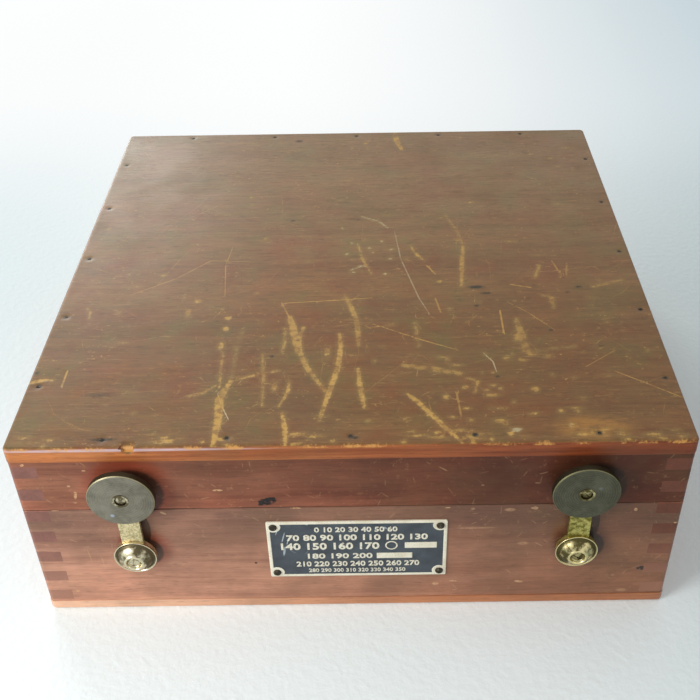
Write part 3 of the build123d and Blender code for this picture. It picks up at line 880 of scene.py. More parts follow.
def old_dust(f, colour, place, upward):
    """Pale dust and dark grease in short pores, and pale and dark specks where the top was used."""
    short = f.stretch(place, (0.16, 1.0, 1.0))
    dashes = f.step(f.noise(short, 1.3, 2.0, 0.6), 0.57, 0.7)
    where = f.step(f.noise(place, 26, 3.0), 0.46, 0.62, 0.0, 0.22)
    colour = f.mix(f.times(dashes, where, upward), colour, paint(190, 152, 92))
    other_pores = f.noise(f.shift(short, (40.0, 30.0, 0.0)), 1.7, 2.0, 0.6)
    greasy = f.times(f.step(other_pores, 0.56, 0.72, 0.0, 0.3), upward)
    colour = f.mix(greasy, colour, paint(84, 64, 42))
    specks = f.noise(f.stretch(place, (0.7, 1.0, 1.0)), 2.1, 3.0, 0.7)
    used = f.noise(f.shift(place, (0.0, 60.0, 0.0)), 30, 3.0, 0.6)
    used = f.times(f.step(used, 0.42, 0.62, 0.25, 1.0), upward)
    colour = f.mix(f.times(f.step(specks, 0.6, 0.72, 0.0, 0.6), used), colour, paint(188, 148, 84))
    return f.mix(f.times(f.step(specks, 0.3, 0.4, 0.45, 0.0), used), colour, paint(74, 60, 38))


def top_wear(f, colour, place, fibres):
    """Reads the marks from the mesh's fields. A broad scrape's edge is made ragged by noise, and its
    inside is patchy, because low places keep their varnish. Gives the colour and how bare it is."""
    upward = facing_up(f)
    ragged = f.minus(f.noise(place, 1.3, 3.0, 0.7), 0.5)
    patchy = f.step(f.noise(place, 3.6, 3.0, 0.6), 0.36, 0.56, 0.3, 1.0)
    depth = f.plus(f.field("scrape"), f.times(ragged, 2.4))
    fading = f.step(f.noise(place, 9.0, 2.0), 0.34, 0.56, 0.45, 1.0)
    broad = f.times(f.step(depth, -0.3, 0.65), patchy, fading)
    off_line = f.math("ABSOLUTE", f.field("line_offset"))
    line = f.step(f.minus(f.field("line_width"), off_line), -0.1, 0.3)
    line = f.times(line, f.step(f.noise(place, 4.0, 2.0), 0.3, 0.55, 0.35, 1.0))
    strength = f.times(f.field("mark_strength"), upward)
    mark = f.times(f.most(broad, line), strength)
    rub = f.plus(f.field("rub"), f.times(ragged, 1.4))
    rubbed = f.times(f.step(rub, 0.4, 0.95, 0.0, 0.8), f.step(f.field("rub"), 0.02, 0.2))
    tone = f.field("mark_tone")
    bare = f.stain(paint(150, 128, 74), paint(210, 166, 90), tone, 0.05, 0.5)
    bare = f.stain(bare, paint(206, 194, 154), tone, 0.6, 1.0)
    bare = f.stain(bare, paint(150, 104, 58), fibres, 0.3, 0.75, 0.0, 0.2)
    colour = old_dust(f, colour, place, upward)
    thinned = f.times(f.step(depth, -2.0, -0.1, 0.0, 0.35), patchy, upward, fading)
    colour = f.mix(thinned, colour, paint(150, 126, 72))
    colour = f.mix(mark, colour, bare)
    colour = f.mix(rubbed, colour, paint(208, 152, 82))
    grime = f.plus(f.field("grime"), f.times(ragged, 0.7))
    dirty = f.times(f.step(grime, 0.15, 0.7), f.step(f.field("grime"), 0.02, 0.25))
    colour = f.mix(f.times(dirty, 0.9), colour, paint(40, 42, 34))
    return colour, f.most(mark, rubbed)


top_light, top_dark = paint(152, 112, 68), paint(122, 84, 48)
top_wood = wood("top_varnish", 0, top_light, top_dark, end_grain["left"], 3, roughness=0.4, coat=0.0,
                specular=0.22, tint=top_tint, worn=top_wear)
put_piece("top_board", panel_points, panel_faces, top_wood, "lid", ["top_panel"],
          panel_fields)

# %% [markdown]
# ## Boards of the box
#
# The boards keep the shapes that the frame gives them: they are flat, and their fingers and small
# chamfers are already there. What they lack is a surface, and above all its short pale dents. A
# texture of them would repeat. Here they come from a cell pattern instead: each cell holds one
# short line with its own length and direction, which is quick to compute and never repeats.

# %% Dents on a face


def flecks(f, flat, cell, length, width, share):
    """Short scratches, one to a cell at most. In each cell the place is measured from the cell's
    own point and turned by its own angle, so that the line is |v| < width, |u| < length."""
    point = f.node("TexVoronoi", {"Vector": flat, "Scale": 1 / cell}, "Position", voronoi_dimensions="2D")
    chance = f.parts(point.node.outputs["Color"])
    inputs = {"Vector": f.node("VectorMath", {0: flat, 1: point}, operation="SUBTRACT"),
              "Angle": f.times(chance[0], 6.28)}
    u, v, _ = f.parts(f.node("VectorRotate", inputs, rotation_type="Z_AXIS"))
    v = f.plus(v, f.times(u, u, 0.02))
    long = f.times(chance[1], length)
    ends = f.step(f.minus(f.math("ABSOLUTE", u), long), -1.5, 0.0, 1.0, 0.0)
    line = f.step(f.math("ABSOLUTE", v), width * 0.4, width, 1.0, 0.0)
    rare = f.math("LESS_THAN", chance[2], share)
    return f.times(ends, line, rare)


# %% [markdown]
# ## Marks of the front
#
# The marks that a viewer would recognise are placed one by one: pale dents, faint rubs and a few
# black burns. Scratches on an upright face are few and short, so each mark is only a soft ellipse,
# whose edge the finish makes ragged. It has a middle (x, z), two half sizes and a tilt in degrees,
# read off a millimetre grid.

# %% Marks of the front
mark_reach = 9.0        # how far before and behind the front face a mark still counts
front_dark = [(-41, 78, 7.0, 3.6, -18), (146, 26, 3.8, 2.0, 0), (-50, 34, 1.1, 1.1, 0)]
front_pale = [
    (-144, 73.5, 3.0, 0.5, 0), (-132, 84, 1.2, 3.5, 10), (-134, 90, 1.2, 0.8, 0), (-133, 79, 1.2, 0.8, 0),
    (-125, 100, 1.5, 0.6, 0), (-153, 104, 1.5, 1.0, -40), (-92, 71, 2.4, 1.0, 30), (-64, 86, 3.6, 0.9, 0),
    (-152, 14, 2.2, 1.4, 0), (-144, 14, 1.4, 0.9, 0), (-110, 29, 1.5, 0.8, 0), (84, 17, 3.4, 1.3, 5),
    (50, 18, 3.0, 0.9, 0), (41, 16, 2.6, 1.2, 0), (88, 71, 2.6, 1.5, 0), (46, 72, 2.2, 0.6, 0),
    (137, 69, 1.2, 1.5, 0), (158, 59, 1.6, 1.2, 0), (-28, 73, 4.0, 0.5, 0),
]
front_faint = [
    (-157, 55, 4.0, 0.6, 30), (-127, 36, 0.5, 6.0, -4), (-133, 42, 0.4, 7.0, -4), (60, 57.5, 13, 0.7, 0),
    (84, 46, 3.4, 1.5, 0), (76, 70, 3.4, 1.5, 0), (78, 25, 2.6, 0.5, 40), (92, 45, 3.2, 0.4, 35),
    (43, 98, 3.2, 0.5, 35), (58, 71, 1.3, 0.9, 0), (132, 21, 1.1, 0.9, 0), (138, 9, 3.4, 1.6, 0),
    (51, 11, 1.6, 0.7, 0), (62, 87, 1.0, 0.6, 0), (88, 88, 1.6, 0.5, 0), (-88, 89, 1.0, 0.8, 0),
]


def all_of(f, vector, marks):
    """The strongest of several marks on the front at each place."""
    total = 0.0
    for x, z, wide, tall, tilt in marks:
        total = f.most(total, f.smudge(vector, (x, front_y, z), (wide, mark_reach, tall), tilt))
    return total


print(len(front_dark), "dark,", len(front_pale), "pale and", len(front_faint), "faint marks")

# %% [markdown]
# The painted shadows round the brass follow the brass, so the latches' places are read from the
# frame. The painted shadow behind the right disc lies a little further to the right than at the
# left one.

# %% Places of the brass
latch_x = {side: float(sum(c[0] for c in box_mm(f"latch_{side}_pivot_screw")) / 2) for side in sides}
disc_z = float(sum(c[2] for c in box_mm("latch_left_pivot_screw")) / 2)
boss_z = float(sum(c[2] for c in box_mm("latch_left_boss")) / 2)
halo_half, low_halo_half = (25, 20, 24), (17, 20, 16)       # round the disc and round the boss
# Painted shadows right behind the brass: a shift to the right for each latch, then where each painted
# shadow lies and how large it is.
painted_shadow_shift = {"left": 0.0, "right": 2.4}
painted_shadow_places = [        # shift from the latch's middle, height, and two half sizes
    (2.8, disc_z - 4, 16.8, 16.8),
    (4.2, (disc_z + boss_z) / 2 - 7, 4.6, 12),
    (2.2, boss_z - 2.5, 11.2, 11.2),
]
print("discs turn about x", latch_x, "z", disc_z, "and the bosses sit at z", boss_z)

# %% [markdown]
# Dirt stays where no cloth reaches, in the seam between lid and base. Round the brass the old
# varnish has kept its red, or its black on the right, and right behind each brass piece lies a
# painted shadow. All are read from the boards' own coordinates, so they move with the lid when it
# opens.

# %% Dirt and painted shadows of the front
pale_wood = paint(206, 160, 118)


def seam_dirt(f, colour, place):
    """Dirt gathers where the lid meets the base, in a broken dark line."""
    off_seam = f.math("ABSOLUTE", f.minus(f.parts(place)[2], seam_z))
    line = f.step(off_seam, 0.3, 0.8, 1.0, 0.0)
    upright = f.minus(1.0, facing_up(f))
    broken = f.times(f.step(f.noise(place, 12.0, 3.0), 0.3, 0.55, 0.4, 0.9), upright)
    return f.mix(f.times(line, broken), colour, paint(34, 20, 16))


halo_colour = {"left": paint(156, 56, 34), "right": paint(76, 38, 26)}
# Colour of the painted shadows behind the brass.
painted_shadow_colour = paint(26, 14, 10)


def brass_shadows(f, colour, place, outside):
    """Old red varnish round each latch, and a painted shadow right behind each of its pieces."""
    for side in sides:
        x = latch_x[side]
        halo = f.smudge(place, (x + 2, front_y, disc_z), halo_half, 0, 0.4)
        low = f.smudge(place, (x + 4, front_y, boss_z), low_halo_half, 0, 0.5)
        colour = f.mix(f.times(f.most(halo, low), outside, 0.6), colour, halo_colour[side])
        # Each of these is a painted shadow, laid dark on the board right behind a brass piece.
        for shift, z, wide, tall in painted_shadow_places:
            centre = (x + shift + painted_shadow_shift[side], front_y, z)
            painted_shadow = f.smudge(place, centre, (wide, 20, tall), 0, 0.14)
            colour = f.mix(f.times(painted_shadow, outside, 0.8), colour, painted_shadow_colour)
    return colour


# %% [markdown]
# The two front boards share their tint but not its measure. Both are painted darker towards the
# right, as painted shade away from the lamp; the lid's board goes nearly black there, and starts to
# do so further left. Both are painted lighter at their lower edge, as painted light thrown up from
# the floor. The marks and the painted shadows must not reach the inner face, so they are held to
# the outer one.

# %% Tint of the front
burn = paint(26, 24, 26)
# Painted shade darkens each front board towards the right, and painted light brightens its foot.
front_shade_and_light = {        # a darker colour, its run along X with its shares, and the light's run up Z
    "base": (paint(110, 66, 36), (-110.0, 160.0, 0.0, 0.75), (6.0, seam_z, 1.3, 0.66)),
    "lid": (paint(74, 30, 14), (-165.0, 110.0, 0.0, 0.92), (seam_z, seam_z + 18, 1.3, 0.98)),
}


def front_marks(f, place, part):
    """How pale and how black each place is: the placed marks of this board with ragged edges, and
    two sizes of seeded scratches and some dust, which crowd in places."""
    ragged = f.times(f.noise(place, 1.4, 3.0), 1.6)
    dark, pale, soft = (
        f.times(all_of(f, place, [m for m in marks if (m[1] > seam_z) == (part == "lid")]), ragged)
        for marks in (front_dark, front_pale, front_faint)
    )
    torn = f.noise(place, 1.6, 4.0, 0.8)
    pale = f.most(f.step(f.times(pale, torn), 0.16, 0.42), f.times(soft, 0.5))
    x, _, z = f.parts(place)
    flat = f.node("CombineXYZ", {0: x, 1: z, 2: 0.0})
    strewn = f.most(flecks(f, flat, 14, 3.5, 0.5, 0.5), flecks(f, flat, 7, 3, 0.35, 0.45))
    dusty = f.step(f.noise(place, 3.2, 4.0, 0.75), 0.56, 0.74, 0.0, 0.3)
    crowded = f.step(f.noise(place, 34, 2.0), 0.4, 0.62, 0.3, 1.2)
    strewn = f.times(f.most(f.times(strewn, 0.34), dusty), crowded)
    return f.most(f.times(pale, 1.3), strewn), f.step(dark, 0.3, 0.8)


def front_tint(part):
    """The tint of one front board: painted shade to the right, cloudy, painted light at its foot,
    then the brass's halo and painted shadows, and the marks."""
    darker, along, upwards = front_shade_and_light[part]

    def tint(f, colour, place):
        x, y, z = f.parts(place)
        outside = f.step(y, front_y + 0.2, front_y + 1.5, 1.0, 0.0)
        # Painted shade: darker towards the right.
        colour = f.stain(colour, darker, x, *along)
        cloud = f.step(f.noise(f.stretch(place, (0.6, 1.0, 1.0)), 22, 4.0, 0.6), 0.35, 0.68, 0.82, 1.18)
        # The step in Z is painted light, brighter at the board's foot.
        colour = f.scale(colour, f.times(cloud, f.step(z, *upwards)))
        colour = brass_shadows(f, colour, place, outside)
        pale, dark = front_marks(f, place, part)
        colour = f.mix(f.times(pale, outside, 0.7), colour, pale_wood)
        colour = f.mix(f.times(dark, outside), colour, burn)
        return seam_dirt(f, colour, place)
    return tint


# %% [markdown]
# The sides and the back have no marks of their own, only strewn dents and the seam's dirt. The
# bottom panel shows no more than its edge.

# %% Colours of the other boards


def side_tint(f, colour, place):
    """Dents on the upright faces, and dirt along the seam. X + Y runs along any of them."""
    x, y, z = f.parts(place)
    flat = f.node("CombineXYZ", {0: f.plus(x, y), 1: z, 2: 0.0})
    small = f.times(flecks(f, flat, 18, 6, 0.45, 0.45), 0.5)
    return seam_dirt(f, f.mix(small, colour, pale_wood), place)


def bottom_tint(f, colour, place):
    """The bottom panel's edge is paler towards the left, and brightened there by painted light."""
    x = f.parts(place)[0]
    colour = f.stain(colour, paint(244, 208, 180), x, -150.0, 60.0, 0.5, 0.0)
    # Painted light: brighter towards the left.
    return f.scale(colour, f.step(x, -150.0, 130.0, 1.2, 1.0))


# %% [markdown]
# ## Finishes of the boards
#
# One recipe serves all boards. Only the seed, the two colours, the direction of the fibres and the
# tint change, so that no board repeats another, and yet all of them look like one tree.

# %% Board finishes
ends = end_grain["left"]
varnish = {"coat": 0.08, "specular": 0.35}
lid_light, lid_dark = paint(168, 106, 80), paint(120, 66, 48)
board_finish = {
    "base_front": wood("base_front_varnish", 0, base_light, base_dark, ends, 11,
                       tint=front_tint("base"), **varnish),
    "lid_front": wood("lid_front_varnish", 0, lid_light, lid_dark, ends, 12, coat=0.0, specular=0.2,
                      tint=front_tint("lid")),
    "back": wood("back_varnish", 0, red_light, red_dark, ends, 13, tint=side_tint, **varnish),
    "left": wood("left_varnish", 1, red_light, red_dark, ends, 14, tint=side_tint, **varnish),
    "right": wood("right_varnish", 1, red_light, red_dark, end_grain["right"], 15, tint=side_tint,
                  **varnish),
    "bottom": wood("bottom_varnish", 0, paint(204, 130, 78), paint(160, 90, 50), ends, 16,
                   tint=bottom_tint),
    "block": wood("block_oiled", 0, paint(178, 124, 82), paint(140, 92, 58), paint(120, 76, 48), 17,
                  roughness=0.6, coat=0.0),
}


def dress(material, *names):
    """Gives CAD nodes a material, in every slot that they have."""
    for name in names:
        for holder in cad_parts[name].material_slots:
            holder.material = material


for part in ("base", "lid"):
    dress(board_finish[f"{part}_front"], f"{part}_front_board")
    for side in ("back", "left", "right"):
        dress(board_finish[side], f"{part}_{side}_board")
dress(board_finish["bottom"], "bottom_panel")
block_names = [f"corner_block_{end}_{side}" for end in ("front", "back") for side in sides]
dress(board_finish["block"], *block_names)
print(len(board_finish), "wood finishes")

# %% [markdown]
# ## Brass
#
# All the fittings are brass that has not been polished for a long time. Bare brass shows only
# where fingers and edges rub; elsewhere it is olive and brown. The finish mixes the two by noise,
# and a field on the lathe-turned pieces says which rings of them stand proud and stay bright.

# %% Brass finishes


def brass(name, bright, dull, seed, share=0.5, size=5.0, roughness=0.3, pits=0.02, speckle=0.0):
    """Brass between a bright and a dull colour. share is how much of it is dull."""
    f = Finish(name, metallic=1.0)
    mm = f.shift(f.place(), (seed * 31.0, seed * 17.0, seed * 53.0))
    cloud = f.noise(mm, size, 4.0, 0.65)
    worn = f.field("worn")
    least, most = 0.62 - share * 0.5, 0.85 - share * 0.5
    dullness = f.step(f.minus(cloud, f.times(worn, 0.6)), least, most)
    colour = f.mix(dullness, bright, dull)
    if speckle:
        dots = f.step(f.noise(mm, 0.9, 2.0, 0.6), 0.45, 0.65)
        colour = f.mix(f.times(dots, speckle), colour, dull)
    gloss = f.plus(f.times(dullness, 0.22), roughness)
    fine = f.noise(mm, 0.6, 2.0)
    normal = f.bump(f.plus(f.times(cloud, 0.6), f.times(fine, 0.4)), pits)
    return f.finish(colour, gloss, normal)


# %% [markdown]
# The two discs have gone dark, the right one more than the left. What is left of the lathe's work
# is a set of faint rings about the axis and a thin rim that hands keep bright. A finish that knows
# where the axis is can draw both as functions of the distance from it.

# %% Patina, painted shade and painted glint of the discs


def turned_patina(name, side, colour, rim, seed, glint):
    """A disc's dark patina with faint rings from the lathe, a thin bright rim, a few rubbed
    clouds, painted shade on its side and one small painted glint of pale blue light. The rings are a
    sine of 5.5 times the distance from the axis, and the rim is what lies 15.6 mm or more from it."""
    f = Finish(name, metallic=0.85)
    place = f.place()
    flat = f.stretch(place, (1.0, 0.0, 1.0))
    centre = (latch_x[side], 0.0, disc_z)
    radius = f.node("VectorMath", {0: flat, 1: centre}, "Value", operation="DISTANCE")
    wobble = f.times(f.noise(place, 9.0), 0.7)
    wave = f.math("SINE", f.times(f.plus(radius, wobble), 5.5))
    cloud = f.noise(f.shift(place, (seed * 13.0, 0.0, 0.0)), 8.0, 4.0, 0.65)
    shade = f.stain(colour, dimmed(colour, 0.62), cloud, 0.3, 0.7)
    shade = f.stain(shade, rim, wave, 0.2, 1.0, 0.0, 0.14)
    fleck = f.step(f.noise(place, 0.8, 2.0), 0.62, 0.7, 0.0, 0.35)
    shade = f.mix(fleck, shade, dimmed(colour, 0.4))
    edge = f.step(f.plus(radius, f.times(cloud, 0.4)), 15.6, 15.9)
    shade = f.mix(f.times(edge, 0.4), shade, rim)
    # Painted shade: the disc's side, which does not face the front, is darkened.
    shade = f.stain(shade, paint(52, 46, 34), f.facing(1), 0.3, 0.7, 0.92, 0.0)
    # A painted highlight: one small glint of pale blue light on the disc's face.
    glint_x, glint_z, glint_strength = glint
    glint_place = (latch_x[side] + glint_x, front_y, disc_z + glint_z)
    painted_glint = f.smudge(place, glint_place, (1.7, 20, 1.5), 0, 0.6)
    shade = f.mix(f.times(painted_glint, glint_strength), shade, paint(168, 180, 196))
    gloss = f.step(cloud, 0.3, 0.7, 0.42, 0.56)
    normal = f.bump(f.plus(f.times(wave, 0.25), cloud), 0.03)
    return f.finish(shade, gloss, normal)


# %% [markdown]
# Every fitting gets its own pair of colours, because the left latch has been rubbed more than the
# right one, and its brass is paler.

# %% Finishes of the fittings
worn_bright = {"roughness": 0.26}
speckled = {"size": 3.0, "roughness": 0.42, "speckle": 0.6}
latch_finish = {
    "left": brass("latch_brass_left", paint(208, 198, 168), paint(92, 82, 60), 1, **worn_bright),
    "right": brass("latch_brass_right", paint(208, 196, 146), paint(86, 78, 48), 2, 0.6, **worn_bright),
}
strap_finish = {
    "left": brass("strap_brass_left", paint(220, 204, 162), paint(146, 134, 94), 3, 0.3, **speckled),
    "right": brass("strap_brass_right", paint(196, 186, 112), paint(116, 110, 52), 4, 0.45, **speckled),
}
# Painted glints of the two discs.
left_glint, right_glint = (-5.3, -9.6, 0.8), (6.0, 4.0, 0.15)      # x and z from the axis, strength
disc_finish = {
    "left": turned_patina("disc_patina_left", "left", paint(130, 125, 112), paint(178, 168, 116), 1,
                          left_glint),
    "right": turned_patina("disc_patina_right", "right", paint(92, 91, 76), paint(140, 136, 88), 2,
                           right_glint),
}
hinge_brass = brass("hinge_brass", paint(190, 168, 104), paint(108, 88, 50), 5, 0.6, 9.0, 0.38)
dark_steel = brass("dark_steel", paint(96, 88, 78), paint(52, 46, 40), 6, 0.6, 2.0, 0.45)
pin_metal = brass("pin_metal", paint(150, 142, 120), paint(66, 62, 54), 7, 0.75, 2.0, 0.4)

for side in sides:
    dress(disc_finish[side], f"latch_{side}_disc")
    dress(strap_finish[side], f"latch_{side}_strap", f"latch_{side}_strap_spacer")
    dress(latch_finish[side], *(f"latch_{side}_{part}" for part in ("bush", "hub_washer", "catch_pin")))
    dress(hinge_brass, *(f"hinge_{side}_{part}" for part in ("base_leaf", "lid_leaf", "pin")))
dress(hinge_brass, "hinge_base_screws", "hinge_lid_screws")
dress(dark_steel, "bottom_panel_brads")
print("dressed the discs, the latches, the hinges and the bottom's nails")

# %% [markdown]
# ## Turned bosses
#
# The boss is a shape that a lathe makes: a flange with a raised bright lip, a valley, a dome, a
# ring round its middle and a small bowl with a screw in it. One profile of radius and height,
# rounded at its corners, gives all of that. A second list says how bright each radius stays, and
# the brass finish reads it from the mesh.

# %% Bosses
boss_low, boss_high = box_mm("latch_left_boss")
boss_radius = (boss_high[0] - boss_low[0]) / 2
boss_back, boss_crown = front_y - boss_high[1], front_y - boss_low[1]
boss_corners = [        # radius, height above the front face, and how far the corner is cut back
    (2.85, 8.7, 0), (3.3, 9.0, 0.4), (3.75, 10.2, 0.5), (4.2, boss_crown, 0.5), (4.75, 10.2, 0.4),
    (5.2, 9.7, 0.4), (6.6, 8.9, 0.9), (7.9, 7.6, 0.9), (8.7, 6.1, 0.5), (9.1, 5.75, 0.3),
    (9.6, 5.8, 0.3), (10.0, 6.3, 0.3), (boss_radius, 6.25, 0.3), (boss_radius, 5.6, 0.2),
    (boss_radius - 0.25, boss_back, 0),
]
boss_profile = rounded([corner[:2] for corner in boss_corners], [corner[2] for corner in boss_corners], 6)
proud_radii = [2.8, 3.6, 4.2, 5.0, 8.2, 9.4, 9.9, 10.5]
proud_values = [0, 0.5, 1, 0.1, 0, -0.6, 0.9, 1]        # 1 stays bright, below 0 dirt collects
proud = np.interp(boss_profile[:, 0], proud_radii, proud_values)
boss_around = 96
for side in sides:
    points, faces = lathe(boss_profile, boss_around)
    put_piece(f"boss_{side}", on_front(points, latch_x[side], boss_z), faces, latch_finish[side], "base",
              [f"latch_{side}_boss"], {"worn": np.repeat(proud, boss_around)})

# %% [markdown]
# ## Slotted screws
#
# A screw's head can't come from a lathe, because of its slot, and a slot cut into a turned head
# would leave ragged edges. Its surface is a set of rows parallel to the slot instead, with two rows
# close together at each of the slot's walls, so the walls stay upright and the dome stays smooth.

# %% Closed sheets


def closed_sheet(top, bottom):
    """One closed skin from two grids of the same shape, the bottom one under the top one: the top's
    quads, the bottom's turned round, and a band of quads round the border."""
    rows, columns = top.shape[:2]
    count = rows * columns
    rim = grid_rim(rows, columns)
    after = np.roll(rim, -1)
    faces = grid_faces(rows, columns) + [q[::-1] for q in grid_faces(rows, columns, first=count)]
    faces += np.stack([rim, rim + count, after + count, after], -1).tolist()
    return np.concatenate([top.reshape(-1, 3), bottom.reshape(-1, 3)]), faces


# %% [markdown]
# The head is such a sheet. Its upper grid carries the dome, the slot and a small fall at the rim,
# and its lower grid is flat.

# %% Slotted screws


def slotted_head(radius, back, front, dome, slot_width, slot_depth, angle):
    """A screw head in rows along its slot. A row at height v is 2 sqrt(r^2 - v^2) long. The face
    sinks by dome * (d / r)^2 with d the distance from the middle, and falls into the slot."""
    half = slot_width / 2
    walls = [-half - 0.03, -half + 0.03, half - 0.03, half + 0.03]
    rim = radius * np.array([-0.999, -0.99, -0.96, 0.96, 0.99, 0.999])
    v = np.unique(np.concatenate([np.linspace(-0.9, 0.9, 15) * radius, walls, rim]))
    s = np.sin(np.linspace(-np.pi / 2, np.pi / 2, 25))
    u = s[None, :] * np.sqrt(radius ** 2 - v[:, None] ** 2)
    v = np.broadcast_to(v[:, None], u.shape)
    far = (u ** 2 + v ** 2) / radius ** 2
    height = front - dome * far - 0.25 * np.clip((far - 0.8) / 0.2, 0, 1) ** 2
    height = np.where(np.abs(v) < half, front - slot_depth, height)
    c, s = math.cos(math.radians(angle)), math.sin(math.radians(angle))
    top = np.stack([u * c - v * s, u * s + v * c, height], -1)
    bottom = top.copy()
    bottom[..., 2] = back
    return closed_sheet(top, bottom)


slot_angles = {"left": (64, 82), "right": (-50, -32)}      # of the pivot screw and the boss screw
pivot_head = {"radius": 2.55, "dome": 0.35, "slot_width": 0.7, "slot_depth": 0.55}
boss_head = {"radius": 2.8, "dome": 0.4, "slot_width": 0.8, "slot_depth": 0.7}
pivot_face = front_y - float(box_mm("latch_left_pivot_screw")[0][1])
pivot_back, pivot_front = pivot_face - 1.3, pivot_face - 0.3     # clear of the bush's pocket
boss_head_back, boss_head_front = 8.2, 9.75                      # in the boss's bowl
for side in sides:
    x, look = latch_x[side], latch_finish[side]
    pivot_angle, boss_angle = slot_angles[side]
    points, faces = slotted_head(back=pivot_back, front=pivot_front, angle=pivot_angle, **pivot_head)
    put_piece(f"pivot_screw_head_{side}", on_front(points, x, disc_z), faces, look, "lid",
              [f"latch_{side}_pivot_screw"], sharp=30)
    points, faces = slotted_head(back=boss_head_back, front=boss_head_front, angle=boss_angle, **boss_head)
    put_piece(f"boss_screw_head_{side}", on_front(points, x, boss_z), faces, look, "base",
              [f"latch_{side}_boss_screw"], sharp=30)

# %% [markdown]
# ## Nails of the top
#
# Twenty brads hold the top down. Each shows as a dark round head, a little sunk in a dent that the
# hammer left. One small turned head is worked out, and numpy adds all the places to it at once.

# %% Nails of the top
head_corners = [(0.05, 0.02), (0.9, 0.0), (1.35, -0.08), (brad_head, -0.3), (brad_head, -0.8)]
head_sunk = 0.2
head_points, head_faces = lathe(rounded(head_corners, 0.2, 3), 20)
centres = np.column_stack([brad_places, np.full(len(brad_places), top_high[2] - head_sunk)])
points = (head_points[None] + centres[:, None]).reshape(-1, 3)
faces = [[v + i * len(head_points) for v in face] for i in range(len(centres)) for face in head_faces]
put_piece("top_nail_heads", points, faces, dark_steel, "lid", ["top_panel_brads"])

# %% [markdown]
# ## Data plate
#
# The plate is thin sheet with a raised border and round lands under its four pins. Its ground is a
# dull blue-black, and rows of raised figures, with two blank fields and a plain ring among them,
# are rubbed back to the pale metal. The sheet is a fine grid whose height and paint both follow
# one number: how far a point is inside a land.

# %% Plate: sheet
plate_low, plate_high = box_mm("nameplate")
pin_low, pin_high = box_mm("nameplate_pins")
plate_x, plate_z = (plate_low[0] + plate_high[0]) / 2, (plate_low[2] + plate_high[2]) / 2
plate_half = np.array([plate_high[0] - plate_low[0], plate_high[2] - plate_low[2]]) / 2
plate_back, plate_front = front_y - plate_high[1], front_y - plate_low[1]
pin_radius = 2.0
pin_places = (pin_high[[0, 2]] - pin_low[[0, 2]]) / 2 - pin_radius
border_width = 1.7
land_radius = 3.7               # of the flat round each pin
ground_depth = 0.25
land_slope = 0.3                # width of the slope from a land down to the ground
corner_radius = 1.0
arris_reach, arris_drop = 0.4, 0.15
blank_fields = [(31.6, 2.4, 8.0, 2.1), (18.5, -5.0, 8.9, 2.0)]      # middle and two half sizes
ring_place, ring_radii = (17.0, 2.4), (3.1, 2.4)
plate_grid = (301, 141)


def raised(x, y):
    """How far a point of the plate lies inside a land, in millimetres; below 0 on the ground. It is
    the largest of the border's, the pins' lands', the blank fields' and the ring's own depths."""
    clear_x, clear_y = plate_half - border_width
    border = np.maximum(np.abs(x) - clear_x, np.abs(y) - clear_y)
    lands = land_radius - np.hypot(np.abs(x) - pin_places[0], np.abs(y) - pin_places[1])
    blank = [np.minimum(w - np.abs(x - cx), h - np.abs(y - cy)) for cx, cy, w, h in blank_fields]
    far = np.hypot(x - ring_place[0], y - ring_place[1])
    ring = np.minimum(ring_radii[0] - far, far - ring_radii[1])
    return np.max([border, lands, ring, *blank], axis=0)


def rounded_corners(x, y, half_x, half_y, radius):
    """Draws a rectangle's points towards its middle, by as much as each lies outside the rounded
    corners: the distance from the corner's own centre less the radius."""
    over_x = np.maximum(np.abs(x) - half_x + radius, 0)
    over_y = np.maximum(np.abs(y) - half_y + radius, 0)
    outside = np.maximum(0, np.hypot(over_x, over_y) - radius)
    share = 1 - outside / np.hypot(x, y).clip(1)
    return x * share, y * share


plate_columns, plate_rows = (np.linspace(-h, h, n) for h, n in zip(plate_half, plate_grid))
gx, gy = np.meshgrid(plate_columns, plate_rows)
inside = raised(gx, gy)
gx, gy = rounded_corners(gx, gy, *plate_half, corner_radius)
edge_distance = np.minimum(plate_half[0] - np.abs(gx), plate_half[1] - np.abs(gy))
ground = ground_depth * np.clip(0.5 - inside / land_slope, 0, 1)
arris = arris_drop * np.clip(1 - edge_distance / arris_reach, 0, 1)
height = plate_front - ground - arris - 0.02 * (1 + value_noise(gx, gy, 18, 8))
plate_top = np.stack([gx, gy, height], -1)
plate_bottom = np.stack([gx, gy, np.full_like(gx, plate_back)], -1)
print(f"plate {2 * plate_half[0]:.1f} x {2 * plate_half[1]:.1f} mm, {gx.size} points on its face")

# %% [markdown]
# The plate's paint is dark in the ground and gone from the lands. Grit in the noise makes the
# border between them uneven, as rubbed paint is, and a few short rubs lie on the face.

# %% Plate: paint
f = Finish("plate_enamel", metallic=0.0, roughness=0.4)
mm = f.place()
grit = f.noise(mm, 0.8, 3.0, 0.6)
cloud = f.noise(mm, 9.0, 3.0, 0.6)
land = f.step(f.plus(f.field("land"), f.times(f.minus(grit, 0.5), 0.35)), -0.08, 0.12)
ground = f.stain(paint(44, 52, 60), paint(64, 73, 81), cloud, 0.3, 0.7)
pale = f.stain(paint(232, 226, 206), paint(196, 184, 150), cloud, 0.35, 0.7, 0.0, 0.5)
pale = f.stain(pale, paint(120, 112, 92), grit, 0.58, 0.7, 0.0, 0.5)
colour = f.mix(land, ground, pale)
plate_marks = [
    (-38, 57, 0.35, 3.0, 18), (-35, 53, 0.4, 4.6, 14), (-33, 50, 0.35, 3.2, 12), (-35, 43, 0.7, 4.2, 8),
    (-23, 62, 1.0, 0.4, 20), (15, 59, 2.0, 0.9, 20),
]        # as on the front: middle (x, z), two half sizes, tilt
rubbed = f.times(all_of(f, mm, plate_marks), grit, 1.9)
across, _, upwards = f.parts(mm)
flat = f.node("CombineXYZ", {0: across, 1: upwards, 2: 0.0})
